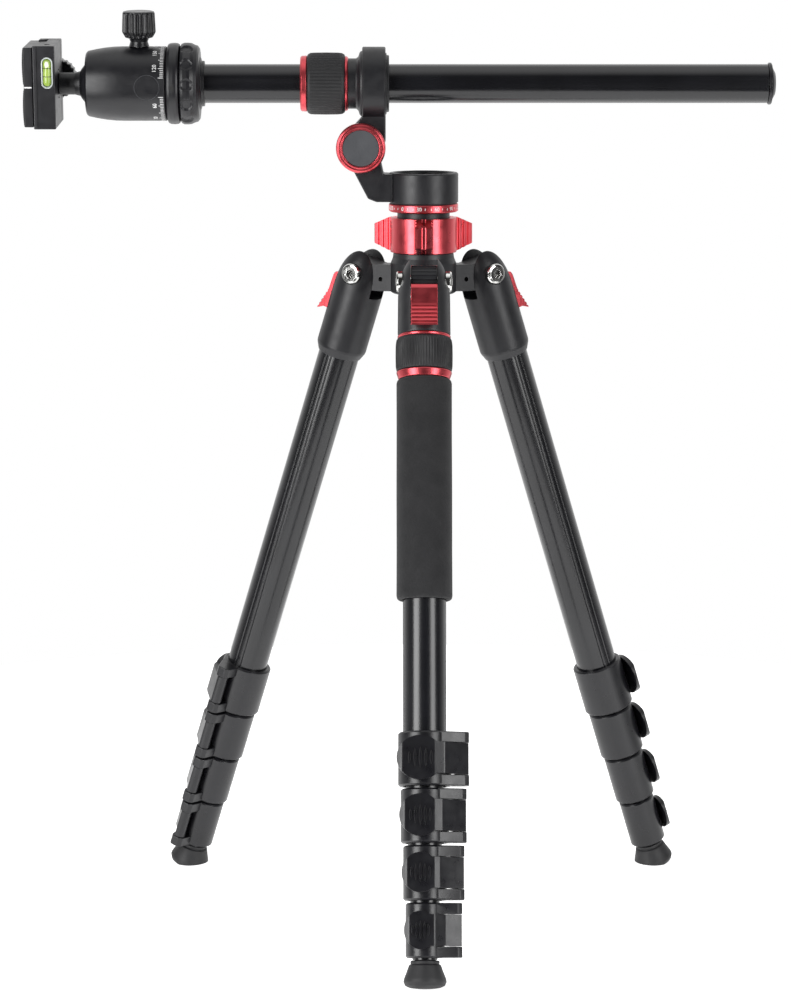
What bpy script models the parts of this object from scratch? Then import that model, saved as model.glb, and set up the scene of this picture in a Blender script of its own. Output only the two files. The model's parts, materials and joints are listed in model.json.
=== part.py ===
"""A travel tripod with a column that swings to the horizontal, a ball head and a quick-release clamp.

The model is in metres with +Z up. The origin is on the ground at the centre of the model's box.
Lengths along a leg are measured down from its pivot, lengths along the column from the pan axis towards the head.
"""

import bpy
import bmesh
from math import asin, cos, pi, radians, sin, sqrt
from mathutils import Matrix, Vector

GAP = 0.0003
STEPS = 16

# Where the pan axis stands, seen from the centre of the model's box, and how high the leg pivots are.
PAN_AXIS_X = 0.0151
PAN_AXIS_Y = 0.0449
PIVOT_HEIGHT = 0.4350

# Legs: the front one faces -Y, and the other two stand 120 degrees to each side of it.
HEADINGS = {"front": 0.0, "right": 120.0, "left": -120.0}
PIVOT_RADIUS = 0.0469
SPLAY = radians(18.8)
WALL = 0.0012
TUBE_RADII = (0.0140, 0.0125, 0.0110, 0.0095, 0.0080)
SECTION_TOPS = (0.0325, 0.060, 0.064, 0.068, 0.072)
LOCK_RADII = (0.0172, 0.0155, 0.0140, 0.0125)
LOCK_TOP = 0.2980
LOCK_PITCH = 0.0364
LOCK_HEIGHT = 0.0349
LUG_HEIGHT = 0.0072
HINGE_REACH = 0.0069
FOOT_TOP = 0.4436
FOOT_END = 0.4600
FOOT_RADIUS = 0.0138

# Yokes, pivot bolts and angle tabs
YOKE_RADIUS = 0.0172
CHEEK_RADIUS = 0.0162
SLOT_HALF = 0.0090
SLOT_FLOOR = 0.0135
YOKE_BORE_TOP = 0.0322
SIDE_YOKE_END = 0.0600
FRONT_YOKE_END = 0.0365
FRONT_SLEEVE_RADIUS = 0.0160
FRONT_SLEEVE_END = 0.0605
BOLT_RADIUS = 0.0040
BOLT_HEAD_RADIUS = 0.0069
TAB_FLOOR = 0.0112
TAB_END = 0.0316

# Spider, pan lock and base
HUB_BORE = 0.0142
HUB_RADIUS = 0.0220
HUB_BOTTOM = -0.0120
NECK_RADIUS = 0.0176
NECK_TOP = 0.0426
SPIGOT_RADIUS = 0.0160
SPIGOT_TOP = 0.0472
LUG_RADIUS = 0.0110
WING_LOCK_BOTTOM = 0.0150
WING_LOCK_TOP = 0.0395
WING_TIP = 0.0368
WING_HALF = 0.0058
DIAL_BOTTOM = 0.0429
CUP_FLOOR = 0.0490
CUP_TOP = 0.0690
CUP_RADIUS = 0.0233
CUP_BORE = 0.0196

# Tilting arm, with its pivot along Y
TILT_X = -0.0419
TILT_Z = 0.0861
ARM_HALF = 0.0115
BOSS_RADIUS = 0.0122
KNOB_RADIUS = 0.0165

# Column, measured from the pan axis towards the head
COLUMN_Z = 0.1281
COLUMN_RADIUS = 0.0129
COLUMN_BORE = 0.0114
COLUMN_HEAD_END = 0.1477
COLUMN_TAIL_END = -0.2294
RING_RADIUS = 0.0244
HEAD_TURN = radians(-4.5)
BALL_AT = 0.2132
BALL_RADIUS = 0.0179
STEM_RADIUS = 0.0073
HOUSING_RADIUS = 0.0247
HOUSING_END = 0.2248
MOUTH_RADIUS = 0.0152
BALL_KNOB_AT = 0.1895
CLAMP_BACK = 0.2436
CLAMP_HALF_LENGTH = 0.0275
CLAMP_HALF_WIDTH = 0.0255
CLAMP_FLOOR = 0.0084
CLAMP_TOP = 0.0146
CLAMP_SCREW_Z = 0.0043
LEVEL_RADIUS = 0.0038
LEVEL_HALF = 0.0103

# How a flat outline stands: its two axes become the two named ones.
FLAT_XY = Matrix.Identity(4)
FLAT_YZ = Matrix(((0, 0, 1, 0), (1, 0, 0, 0), (0, 1, 0, 0), (0, 0, 0, 1)))
FLAT_XZ = Matrix(((1, 0, 0, 0), (0, 0, -1, 0), (0, 1, 0, 0), (0, 0, 0, 1)))
ALONG_X = Matrix.Rotation(pi / 2, 4, "Y")
ALONG_Y = Matrix.Rotation(-pi / 2, 4, "X")
ALONG_MINUS_Y = Matrix.Rotation(pi / 2, 4, "X")
UPRIGHT = Matrix.Identity(4)


def clear_scene():
    for obj in list(bpy.data.objects):
        bpy.data.objects.remove(obj, do_unlink=True)


def new_collection(name):
    collection = bpy.data.collections.new(name)
    bpy.context.scene.collection.children.link(collection)
    return collection


def finish(name, colour, roughness, metallic=0.0):
    material = bpy.data.materials.new(name)
    material.use_nodes = True
    shader = material.node_tree.nodes["Principled BSDF"]
    shader.inputs["Base Color"].default_value = (*colour, 1.0)
    shader.inputs["Roughness"].default_value = roughness
    shader.inputs["Metallic"].default_value = metallic
    return material


clear_scene()
PARTS = new_collection("travel_tripod")
CUTTERS = new_collection("cutters")

BLACK_PAINT = finish("black_paint", (0.020, 0.021, 0.024), 0.45)
GLOSS_TUBE = finish("gloss_black_tube", (0.014, 0.015, 0.017), 0.22, 0.3)
RED = finish("red_anodised", (0.55, 0.02, 0.03), 0.30, 0.8)
RUBBER = finish("rubber", (0.018, 0.018, 0.020), 0.75)
FOAM = finish("foam", (0.012, 0.012, 0.013), 0.95)
PLASTIC = finish("black_plastic", (0.022, 0.022, 0.025), 0.50)
CHROME = finish("chrome", (0.75, 0.75, 0.74), 0.12, 1.0)
VIAL = finish("vial", (0.62, 0.78, 0.18), 0.10)


def axis_frame(name, parent=None, at=(0, 0, 0), turn=UPRIGHT):
    """An empty that holds the pieces that share one axis."""
    empty = bpy.data.objects.new(name, None)
    PARTS.objects.link(empty)
    empty.parent = parent
    empty.matrix_local = Matrix.Translation(at) @ turn
    return empty


def add(name, mesh, parent, at, turn, material):
    """A named part, or a cutter where material is None."""
    obj = bpy.data.objects.new(name, mesh)
    if material:
        mesh.materials.append(material)
        PARTS.objects.link(obj)
    else:
        CUTTERS.objects.link(obj)
        obj.hide_render = True
        obj.display_type = "WIRE"
    obj.parent = parent
    obj.matrix_local = Matrix.Translation(at) @ turn
    return obj


def turned(name, outline, parent, material=None, at=(0, 0, 0), turn=UPRIGHT, steps=STEPS):
    """A turned piece. The outline is (radius, height) points that run down the outer side."""
    mesh = bpy.data.meshes.new(name)
    count = len(outline)
    hollow = outline[0][0] > 0
    edges = [(i, (i + 1) % count) for i in range(count if hollow else count - 1)]
    mesh.from_pydata([(radius, 0, height) for radius, height in outline], edges, [])
    obj = add(name, mesh, parent, at, turn, material)
    screw = obj.modifiers.new("turn", "SCREW")
    screw.steps = steps
    screw.render_steps = steps
    screw.use_merge_vertices = True
    screw.merge_threshold = 0.00001
    return obj


def slab(name, outline, low, high, plane, parent, material=None, at=(0, 0, 0)):
    """A flat outline with the thickness from low to high along the plane's own third axis."""
    curve = bpy.data.curves.new(name, "CURVE")
    curve.dimensions = "2D"
    curve.fill_mode = "BOTH"
    curve.extrude = (high - low) / 2
    spline = curve.splines.new("POLY")
    spline.points.add(len(outline) - 1)
    for point, (across, along) in zip(spline.points, outline):
        point.co = (across, along, 0, 1)
    spline.use_cyclic_u = True
    drawn = bpy.data.objects.new(name, curve)
    CUTTERS.objects.link(drawn)
    bpy.context.view_layer.update()
    graph = bpy.context.evaluated_depsgraph_get()
    mesh = bpy.data.meshes.new_from_object(drawn.evaluated_get(graph))
    bpy.data.objects.remove(drawn)
    edit = bmesh.new()
    edit.from_mesh(mesh)
    bmesh.ops.remove_doubles(edit, verts=edit.verts, dist=0.000001)
    bmesh.ops.translate(edit, verts=edit.verts, vec=(0, 0, (low + high) / 2))
    bmesh.ops.transform(edit, verts=edit.verts, matrix=plane)
    bmesh.ops.recalc_face_normals(edit, faces=edit.faces)
    edit.to_mesh(mesh)
    edit.free()
    return add(name, mesh, parent, at, UPRIGHT, material)


def block(name, low, high, parent, material=None, at=(0, 0, 0), turn=UPRIGHT):
    """A box between two corners."""
    low = Vector(low)
    high = Vector(high)
    mesh = bpy.data.meshes.new(name)
    edit = bmesh.new()
    stretch = Matrix.Diagonal((*(high - low), 1))
    bmesh.ops.create_cube(edit, size=1, matrix=Matrix.Translation((low + high) / 2) @ stretch)
    edit.to_mesh(mesh)
    edit.free()
    return add(name, mesh, parent, at, turn, material)


def rod(name, radius, low, high, parent, turn, at=(0, 0, 0), steps=STEPS):
    """A plain round cutter along the turned piece's axis."""
    outline = [(0, high), (radius, high), (radius, low), (0, low)]
    return turned(name, outline, parent, None, at, turn, steps)


def combine(obj, operation, others):
    for other in others:
        boolean = obj.modifiers.new(other.name, "BOOLEAN")
        boolean.operation = operation
        boolean.object = other


def cut(obj, *others):
    combine(obj, "DIFFERENCE", others)


def join(obj, *others):
    combine(obj, "UNION", others)


def keep(obj, *others):
    combine(obj, "INTERSECT", others)


def arc(radius, start, end, count, centre=(0, 0)):
    """Points along a circle, from one angle in degrees to another."""
    turns = [radians(start + (end - start) * i / count) for i in range(count + 1)]
    return [(centre[0] + radius * cos(a), centre[1] + radius * sin(a)) for a in turns]


TRIPOD = axis_frame("pan_axis", None, (PAN_AXIS_X, PAN_AXIS_Y, PIVOT_HEIGHT))


# ---- Legs ----


def make_yoke(side, axis):
    """The casting at the top of a leg: a round sleeve whose forked top straddles the spider's lug."""
    name = side + "_yoke"
    dome = CHEEK_RADIUS + 0.0008
    outline = [(0, dome), (YOKE_RADIUS, dome)]
    if side == "front":
        sleeve_end = FRONT_SLEEVE_END
        outline += [
            (YOKE_RADIUS, -FRONT_YOKE_END),
            (FRONT_SLEEVE_RADIUS, -FRONT_YOKE_END),
            (FRONT_SLEEVE_RADIUS, -sleeve_end),
        ]
    else:
        sleeve_end = SIDE_YOKE_END
        outline += [(YOKE_RADIUS, -sleeve_end + 0.0050), (YOKE_RADIUS - 0.0024, -sleeve_end)]
    bore = TUBE_RADII[0] + GAP
    outline += [(bore, -sleeve_end), (bore, -YOKE_BORE_TOP), (0, -YOKE_BORE_TOP)]
    yoke = turned(name, outline, axis, BLACK_PAINT, steps=20)

    side_y = YOKE_RADIUS + 0.0004
    below = -sleeve_end - 0.002
    shape = arc(CHEEK_RADIUS, 0, 180, 10) + [(-side_y, -0.010), (-side_y, below)]
    shape += [(side_y, below), (side_y, -0.010)]
    dome_slab = slab(name + "_dome", shape, -0.018, 0.018, FLAT_YZ, axis)
    cheeks = [(YOKE_RADIUS + 0.0004, below), (YOKE_RADIUS + 0.0004, -0.0130)]
    cheeks += [(0.0164, -0.0060), (0.0155, 0.0010), (0.0122, 0.0125), (0.0105, 0.0190)]
    cheeks += [(-across, along) for across, along in reversed(cheeks)]
    keep(yoke, dome_slab, slab(name + "_cheeks", cheeks, -0.03, 0.03, FLAT_XZ, axis))
    slot = block(name + "_slot", (-SLOT_HALF, -0.03, -SLOT_FLOOR), (SLOT_HALF, 0.03, 0.03), axis)
    pocket_low = (-SLOT_HALF, -0.03, -TAB_END)
    pocket = block(name + "_pocket", pocket_low, (SLOT_HALF, -TAB_FLOOR, -0.002), axis)
    bore_radius = BOLT_RADIUS + GAP
    head_bore = BOLT_HEAD_RADIUS + 0.0004
    seat = 0.0139
    half = [(0, 0.020), (head_bore, 0.020), (head_bore, seat), (bore_radius, seat)]
    bolt_room = half + [(radius, -height) for radius, height in reversed(half)]
    cut(yoke, slot, pocket, turned(name + "_bolt_room", bolt_room, axis, turn=ALONG_X, steps=16))


def make_pivot_bolt(side, axis):
    name = side + "_pivot_bolt"
    half = [
        (0, 0.0185),
        (BOLT_HEAD_RADIUS - 0.0010, 0.0185),
        (BOLT_HEAD_RADIUS, 0.0175),
        (BOLT_HEAD_RADIUS, 0.0142),
        (BOLT_RADIUS, 0.0142),
    ]
    outline = half + [(radius, -height) for radius, height in reversed(half)]
    bolt = turned(name, outline, axis, CHROME, turn=ALONG_X, steps=16)
    for end in (1, -1):
        low, high = sorted((0.0152 * end, 0.0195 * end))
        cut(bolt, rod(f"{name}_socket_{low:.3f}", 0.0036, low, high, axis, ALONG_X, steps=6))


def make_angle_tab(side, axis):
    """The red catch that stops the leg's swing. It slides outwards out of the yoke's pocket."""
    inner = -(TAB_FLOOR + GAP)
    lip = -0.0222
    outline = [
        (inner, -0.0050),
        (-0.0164, -0.0048),
        (-0.0173, -0.0080),
        (-0.0176, -0.0200),
        (lip, -0.0322),
        (lip, -0.0340),
        (-0.0179, -TAB_END + GAP),
        (inner, -TAB_END + GAP),
    ]
    half = SLOT_HALF - GAP
    slab(side + "_angle_tab", outline, -half, half, FLAT_YZ, axis, RED)


def lock_span(number):
    """How far down the leg a lock starts and ends."""
    start = LOCK_TOP + (number - 1) * LOCK_PITCH
    return start, start + LOCK_HEIGHT


def hinge_at(number):
    """The lever's pin, beside the lock, as (x, y) from the leg's axis."""
    return LOCK_RADII[number - 1] + HINGE_REACH, -0.0032


def lug_outline(radius):
    """The ear that holds the lever's pin, seen along the leg."""
    reach = radius + HINGE_REACH + 0.0044
    return [
        (0.002, -radius + 0.0012),
        (radius * 0.55, -radius * 0.80),
        (reach - 0.0030, -0.0078),
        (reach - 0.0008, -0.0066),
        (reach, -0.0045),
        (reach, -0.0010),
        (reach - 0.0024, 0.0014),
        (radius * 0.93, 0.0030),
        (radius * 0.80, 0.0085),
        (0.002, radius * 0.56),
    ]


def make_section(side, number, axis):
    """One leg tube. Sections 1 to 4 end in the clamp that grips the next one."""
    name = f"{side}_section_{number}"
    tube = TUBE_RADII[number - 1]
    top = -SECTION_TOPS[number - 1]
    bore = tube - WALL
    if number == 5:
        outline = [(bore, top), (tube, top), (tube, -FOOT_TOP + GAP), (bore, -FOOT_TOP + GAP)]
        turned(name, outline, axis, GLOSS_TUBE)
        return
    ring = LOCK_RADII[number - 1]
    start, end = lock_span(number)
    edge = 0.0008
    outline = [
        (bore, top),
        (tube, top),
        (tube, -start),
        (ring - edge, -start),
        (ring, -start - edge),
        (ring, -end + edge),
        (ring - edge, -end),
        (bore, -end),
    ]
    section = turned(name, outline, axis, GLOSS_TUBE)
    # The ears stop 0.1 mm inside the lock's ends, so that no two faces lie in one plane.
    inset = 0.0001
    for label, high in (("upper_ear", -start - inset), ("lower_ear", -end + LUG_HEIGHT)):
        ear = slab(
            f"{name}_{label}", lug_outline(ring), high - LUG_HEIGHT + inset, high, FLAT_XY, axis
        )
        join(section, ear)
    cut(section, rod(name + "_bore", bore, -end - 0.01, top + 0.01, axis, UPRIGHT))


def lever_plan(radius, hinge):
    """The lever seen along the leg: a flat pad in front of the lock, and a strap round to the pin."""
    front = -(radius + 0.0033)
    back = -(radius + 0.0006)
    barrel = 0.0041
    pin_x, pin_y = hinge
    points = [
        (-radius + 0.0016, back),
        (-radius + 0.0009, front + 0.0012),
        (-radius + 0.0022, front),
        (0.0060, front),
        (radius - 0.0045, front + 0.0018),
        (radius + 0.0005, front + 0.0060),
        (pin_x + barrel, pin_y - 0.0015),
    ]
    points += arc(barrel, 0, 180, 4, hinge)
    points += [
        (radius + 0.0012, -radius * 0.50),
        (radius * 0.79, -radius * 0.78),
        (radius * 0.47, -radius * 0.96),
        (radius * 0.15, back),
    ]
    return [(x - pin_x, y - pin_y) for x, y in points]


def lever_front(radius, hinge, half_height):
    """The lever seen from the front: an oval pad that narrows into the strap."""
    strap = LOCK_HEIGHT / 2 - LUG_HEIGHT - GAP
    middle = -0.0023
    half_width = radius - 0.0028
    meet = asin(strap / half_height)
    count = 14
    points = []
    for i in range(count + 1):
        turn = meet + (2 * pi - 2 * meet) * i / count
        points.append((middle + half_width * cos(turn), half_height * sin(turn)))
    end = hinge[0] + 0.008
    points += [(end, -strap), (end, strap)]
    return [(x - hinge[0], z) for x, z in points]


def make_lever(side, number, axis):
    name = f"{side}_lever_{number}"
    radius = LOCK_RADII[number - 1]
    hinge = hinge_at(number)
    start, end = lock_span(number)
    half_height = 0.0142 - 0.0007 * (number - 1)
    pin = axis_frame(name + "_pin", axis, (*hinge, -(start + end) / 2))
    plan = lever_plan(radius, hinge)
    lever = slab(name, plan, -half_height - 0.001, half_height + 0.001, FLAT_XY, pin, PLASTIC)
    front = lever_front(radius, hinge, half_height)
    keep(lever, slab(name + "_front", front, -0.04, 0.04, FLAT_XZ, pin))


def make_foot(side, axis, ground):
    """The rubber foot: a plug inside the last tube, a neck and a cone with a rounded sole."""
    name = side + "_foot"
    plug = TUBE_RADII[4] - WALL - GAP
    outline = [
        (0, -FOOT_TOP + 0.014),
        (plug, -FOOT_TOP + 0.014),
        (plug, -FOOT_TOP),
        (0.0092, -FOOT_TOP),
        (0.0092, -FOOT_TOP - 0.0014),
        (0.0104, -FOOT_TOP - 0.0024),
        (FOOT_RADIUS - 0.0002, -FOOT_END + 0.0040),
        (FOOT_RADIUS, -FOOT_END + 0.0020),
        (FOOT_RADIUS - 0.0016, -FOOT_END),
        (0.0070, -FOOT_END - 0.0018),
        (0, -FOOT_END - 0.0024),
    ]
    foot = turned(name, outline, axis, RUBBER)
    cut(foot, ground)


def make_leg(side, ground):
    heading = radians(HEADINGS[side])
    outward = Vector((sin(heading), -cos(heading), 0)) * PIVOT_RADIUS
    turn = Matrix.Rotation(heading, 4, "Z") @ Matrix.Rotation(-SPLAY, 4, "X")
    axis = axis_frame(side + "_leg_axis", TRIPOD, outward, turn)
    make_yoke(side, axis)
    make_pivot_bolt(side, axis)
    make_angle_tab(side, axis)
    for number in range(1, 6):
        make_section(side, number, axis)
    for number in range(1, 5):
        make_lever(side, number, axis)
    make_foot(side, axis, ground)
    return axis


def make_legs():
    ground = block("ground", (-0.6, -0.6, -0.2), (0.6, 0.6, 0.0), None)
    axes = {side: make_leg(side, ground) for side in HEADINGS}
    grip = [(TUBE_RADII[0] + GAP, -0.0662), (0.0172, -0.0662), (0.0181, -0.0672)]
    grip += [(0.0181, -0.2110), (0.0172, -0.2120), (TUBE_RADII[0] + GAP, -0.2120)]
    turned("front_leg_grip", grip, axes["front"], FOAM, steps=24)
    sleeve = FRONT_SLEEVE_RADIUS + GAP
    collar = [
        (sleeve, -0.0384),
        (0.0176, -0.0384),
        (0.0186, -0.0396),
        (0.0186, -0.0604),
        (0.0176, -0.0620),
        (0.0180, -0.0630),
        (0.0180, -0.0658),
        (TUBE_RADII[0] + GAP, -0.0658),
        (TUBE_RADII[0] + GAP, -FRONT_SLEEVE_END - GAP),
        (sleeve, -FRONT_SLEEVE_END - GAP),
    ]
    turned("front_leg_collar", collar, axes["front"], RUBBER, steps=24)


# ---- Spider, pan lock and base ----


def make_spider():
    """The hub that carries the three legs, with the neck that the base turns on."""
    hub = [
        (HUB_BORE, SPIGOT_TOP),
        (SPIGOT_RADIUS, SPIGOT_TOP),
        (SPIGOT_RADIUS, NECK_TOP),
        (NECK_RADIUS, NECK_TOP),
        (NECK_RADIUS, WING_LOCK_BOTTOM - GAP),
        (0.0196, WING_LOCK_BOTTOM - GAP),
        (HUB_RADIUS, 0.0060),
        (HUB_RADIUS, HUB_BOTTOM),
        (HUB_BORE, HUB_BOTTOM),
    ]
    spider = turned("spider", hub, TRIPOD, BLACK_PAINT, steps=24)
    half = SLOT_HALF - GAP
    inner = -0.0170
    lug = [(inner, -0.0112), (-0.0300, -0.0116), (-PIVOT_RADIUS, -LUG_RADIUS)]
    lug += arc(LUG_RADIUS, -110, -270, 10, (-PIVOT_RADIUS, 0))
    lug += [(-0.0365, 0.0050), (inner, 0.0052)]
    for side, heading in HEADINGS.items():
        towards = axis_frame(
            side + "_lug_axis", TRIPOD, turn=Matrix.Rotation(radians(heading), 4, "Z")
        )
        join(spider, slab(side + "_lug", lug, -half, half, FLAT_YZ, towards))
        pivot = (0, -PIVOT_RADIUS, 0)
        hole = rod(side + "_pivot_hole", BOLT_RADIUS + GAP, -0.02, 0.02, towards, ALONG_X, pivot, 16)
        cut(spider, hole)


def make_pan_wing_lock():
    """The red ring under the dial, with three wings to turn it by."""
    bottom = WING_LOCK_BOTTOM
    top = WING_LOCK_TOP
    ring = [
        (NECK_RADIUS + GAP, top),
        (0.0204, top),
        (0.0210, top - 0.0006),
        (0.0210, bottom + 0.0006),
        (0.0204, bottom),
        (NECK_RADIUS + GAP, bottom),
    ]
    lock = turned("pan_wing_lock", ring, TRIPOD, RED, steps=24)
    wing = [
        (-0.0190, bottom + 0.0002),
        (-0.0240, bottom + 0.0002),
        (-WING_TIP, bottom + 0.0052),
        (-WING_TIP, top - 0.0052),
        (-0.0240, top - 0.0002),
        (-0.0190, top - 0.0002),
    ]
    for side, heading in HEADINGS.items():
        towards = axis_frame(
            side + "_wing_axis", TRIPOD, turn=Matrix.Rotation(radians(heading), 4, "Z")
        )
        join(lock, slab(side + "_wing", wing, -WING_HALF, WING_HALF, FLAT_YZ, towards))


def make_base_cup():
    """The turning base: a dial ring, the cup that seats the column's ring, and the lower arm."""
    spigot_room = SPIGOT_RADIUS + GAP
    cup = [
        (spigot_room, CUP_FLOOR - 0.001),
        (CUP_BORE, CUP_FLOOR - 0.001),
        (CUP_BORE, CUP_TOP),
        (CUP_RADIUS - 0.0006, CUP_TOP),
        (CUP_RADIUS, CUP_TOP - 0.0006),
        (CUP_RADIUS, CUP_FLOOR),
        (CUP_RADIUS - 0.0008, CUP_FLOOR),
        (CUP_RADIUS - 0.0008, CUP_FLOOR - 0.0006),
        (CUP_RADIUS, CUP_FLOOR - 0.0006),
        (CUP_RADIUS, DIAL_BOTTOM),
        (spigot_room, DIAL_BOTTOM),
    ]
    base = turned("base_cup", cup, TRIPOD, BLACK_PAINT, steps=24)
    low = CUP_FLOOR + 0.0008
    high = CUP_TOP - 0.0008
    arm = [(-0.0215, low), (-0.0325, low), (-0.0372, low + 0.0022)]
    arm += arc(BOSS_RADIUS, 225, 35, 10, (TILT_X, TILT_Z))
    arm += [(-0.0268, high), (-0.0215, high)]
    lower_arm = slab("lower_arm", arm, -ARM_HALF, ARM_HALF, FLAT_XZ, TRIPOD)
    tilt = (TILT_X, 0, TILT_Z)
    relief = rod("lower_arm_relief", 0.0176, -0.00015, 0.02, TRIPOD, ALONG_Y, tilt, 20)
    hole = rod("lower_arm_hole", BOLT_RADIUS + GAP, -0.03, 0.03, TRIPOD, ALONG_Y, tilt, 16)
    cut(lower_arm, relief)
    join(base, lower_arm)
    cut(base, hole)


# ---- Tilting arm, column and head ----


def make_swing_ring(tilt, column):
    """The ring that carries the column, with its collet, its flange and the upper arm."""
    bore = COLUMN_RADIUS + 0.00035
    ring = [
        (bore, 0.0700),
        (0.0155, 0.0700),
        (0.0155, 0.0516),
        (0.0167, 0.0516),
        (0.0167, 0.0445),
        (0.0180, 0.0430),
        (0.0208, 0.0416),
        (0.0236, 0.0416),
        (RING_RADIUS, 0.0408),
        (RING_RADIUS, 0.0259),
        (0.0236, 0.0251),
        (0.0189, 0.0251),
        (0.0189, 0.0231),
        (bore, 0.0231),
    ]
    swing = turned("swing_ring", ring, column, BLACK_PAINT, steps=24)
    right = -0.0254 - TILT_X
    left = -0.0413 - TILT_X
    top = 0.0250
    arm = [(right, top), (right, 0.0040)]
    arm += arc(BOSS_RADIUS, -30, -190, 8)
    arm += [(-0.0090, 0.0100), (left, 0.0180), (left, top)]
    upper_arm = slab("upper_arm", arm, -ARM_HALF, ARM_HALF, FLAT_XZ, tilt)
    cut(upper_arm, rod("upper_arm_relief", 0.0160, -0.02, 0.00015, tilt, ALONG_Y, steps=20))
    join(swing, upper_arm)
    cut(swing, rod("upper_arm_hole", BOLT_RADIUS + GAP, -0.03, 0.03, tilt, ALONG_Y, steps=16))


def make_tilt_knob(tilt):
    outline = [
        (0, 0.0213),
        (0.0122, 0.0213),
        (0.0130, 0.0216),
        (0.0152, 0.0216),
        (KNOB_RADIUS, 0.0200),
        (KNOB_RADIUS, 0.0136),
        (0.0150, 0.0119),
        (BOLT_RADIUS, 0.0119),
        (BOLT_RADIUS, -0.0105),
        (0, -0.0105),
    ]
    turned("tilt_knob", outline, tilt, RED, turn=ALONG_MINUS_Y, steps=24)


def make_column(column):
    bore = COLUMN_RADIUS + 0.00035
    collar = [
        (bore, 0.0821),
        (0.0184, 0.0821),
        (0.0184, 0.0780),
        (0.0196, 0.0777),
        (0.0204, 0.0765),
        (0.0204, 0.0535),
        (0.0196, 0.0522),
        (0.0158, 0.0522),
        (0.0158, 0.0704),
        (bore, 0.0704),
    ]
    turned("column_collar", collar, column, RUBBER, steps=24)
    tube = [
        (COLUMN_BORE, COLUMN_HEAD_END),
        (COLUMN_RADIUS, COLUMN_HEAD_END),
        (COLUMN_RADIUS, COLUMN_TAIL_END),
        (COLUMN_BORE, COLUMN_TAIL_END),
    ]
    turned("column_tube", tube, column, GLOSS_TUBE, steps=24)
    plug = COLUMN_BORE - GAP
    cap = [
        (0, COLUMN_TAIL_END + 0.0110),
        (plug, COLUMN_TAIL_END + 0.0110),
        (plug, COLUMN_TAIL_END - GAP),
        (0.0138, COLUMN_TAIL_END - GAP),
        (0.0138, COLUMN_TAIL_END - 0.0020),
        (0.0130, COLUMN_TAIL_END - 0.0027),
        (0.0107, COLUMN_TAIL_END - 0.0028),
        (0.0070, COLUMN_TAIL_END - 0.0050),
        (0, COLUMN_TAIL_END - 0.0050),
    ]
    turned("column_end_cap", cap, column, PLASTIC, steps=24)
    platform = [
        (0, 0.1620),
        (0.0262, 0.1620),
        (0.0272, 0.1608),
        (0.0272, 0.1540),
        (0.0258, 0.1508),
        (0.0240, 0.1492),
        (0.0150, 0.1492),
        (0.0150, 0.1462),
        (COLUMN_RADIUS + GAP, 0.1462),
        (COLUMN_RADIUS + GAP, COLUMN_HEAD_END + GAP),
        (plug, COLUMN_HEAD_END + GAP),
        (plug, 0.1360),
        (0, 0.1360),
    ]
    turned("column_platform", platform, column, BLACK_PAINT, steps=24)
    collar = [
        (0, 0.1709),
        (0.0240, 0.1709),
        (0.0262, 0.1700),
        (0.0269, 0.1680),
        (0.0269, 0.1636),
        (0.0258, 0.1623),
        (0, 0.1623),
    ]
    turned("pan_base", collar, column, BLACK_PAINT, steps=24)


def make_ball_head(head, ball):
    """The housing with its socket, its locking knob, and the ball with its stem."""
    room = BALL_RADIUS + 2 * GAP
    rim = sqrt(room**2 - MOUTH_RADIUS**2)
    socket = [(room * sin(a), BALL_AT - room * cos(a)) for a in (pi * i / 12 for i in range(8))]
    outline = socket + [
        (MOUTH_RADIUS, BALL_AT + rim),
        (MOUTH_RADIUS, HOUSING_END),
        (0.0206, HOUSING_END),
        (0.0217, HOUSING_END - 0.0010),
        (HOUSING_RADIUS - 0.0002, 0.2080),
        (HOUSING_RADIUS, 0.2040),
        (HOUSING_RADIUS, 0.1712),
        (0, 0.1712),
    ]
    housing = turned("ball_housing", outline, head, BLACK_PAINT, steps=24)
    knob_at = (0, 0, BALL_KNOB_AT)
    stud = BOLT_RADIUS
    cut(housing, rod("knob_hole", stud + GAP, 0.0150, 0.03, head, ALONG_X, knob_at, 16))
    knob = [
        (0, 0.0481),
        (0.0096, 0.0481),
        (0.0108, 0.0470),
        (0.0108, 0.0340),
        (0.0092, 0.0292),
        (0.0066, 0.0286),
        (0.0066, HOUSING_RADIUS + GAP),
        (stud, HOUSING_RADIUS + GAP),
        (stud, 0.0156),
        (0, 0.0156),
    ]
    turned("ball_lock_knob", knob, head, PLASTIC, knob_at, ALONG_X, 24)
    stem_top = CLAMP_BACK - BALL_AT - GAP
    foot = asin(STEM_RADIUS / BALL_RADIUS)
    count = 10
    sphere = [foot + (pi - foot) * i / count for i in range(count + 1)]
    outline = [(0, stem_top + 0.0035), (0.0040, stem_top + 0.0035), (0.0040, stem_top)]
    outline += [(STEM_RADIUS, stem_top)]
    outline += [(BALL_RADIUS * sin(a), BALL_RADIUS * cos(a)) for a in sphere[:-1]]
    outline += [(0, -BALL_RADIUS)]
    turned("ball", outline, ball, BLACK_PAINT, steps=24)


def capsule(radius, half_length):
    """A long rounded outline."""
    reach = half_length - LEVEL_RADIUS
    return arc(radius, -90, 90, 6, (reach, 0)) + arc(radius, 90, 270, 6, (-reach, 0))


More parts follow.
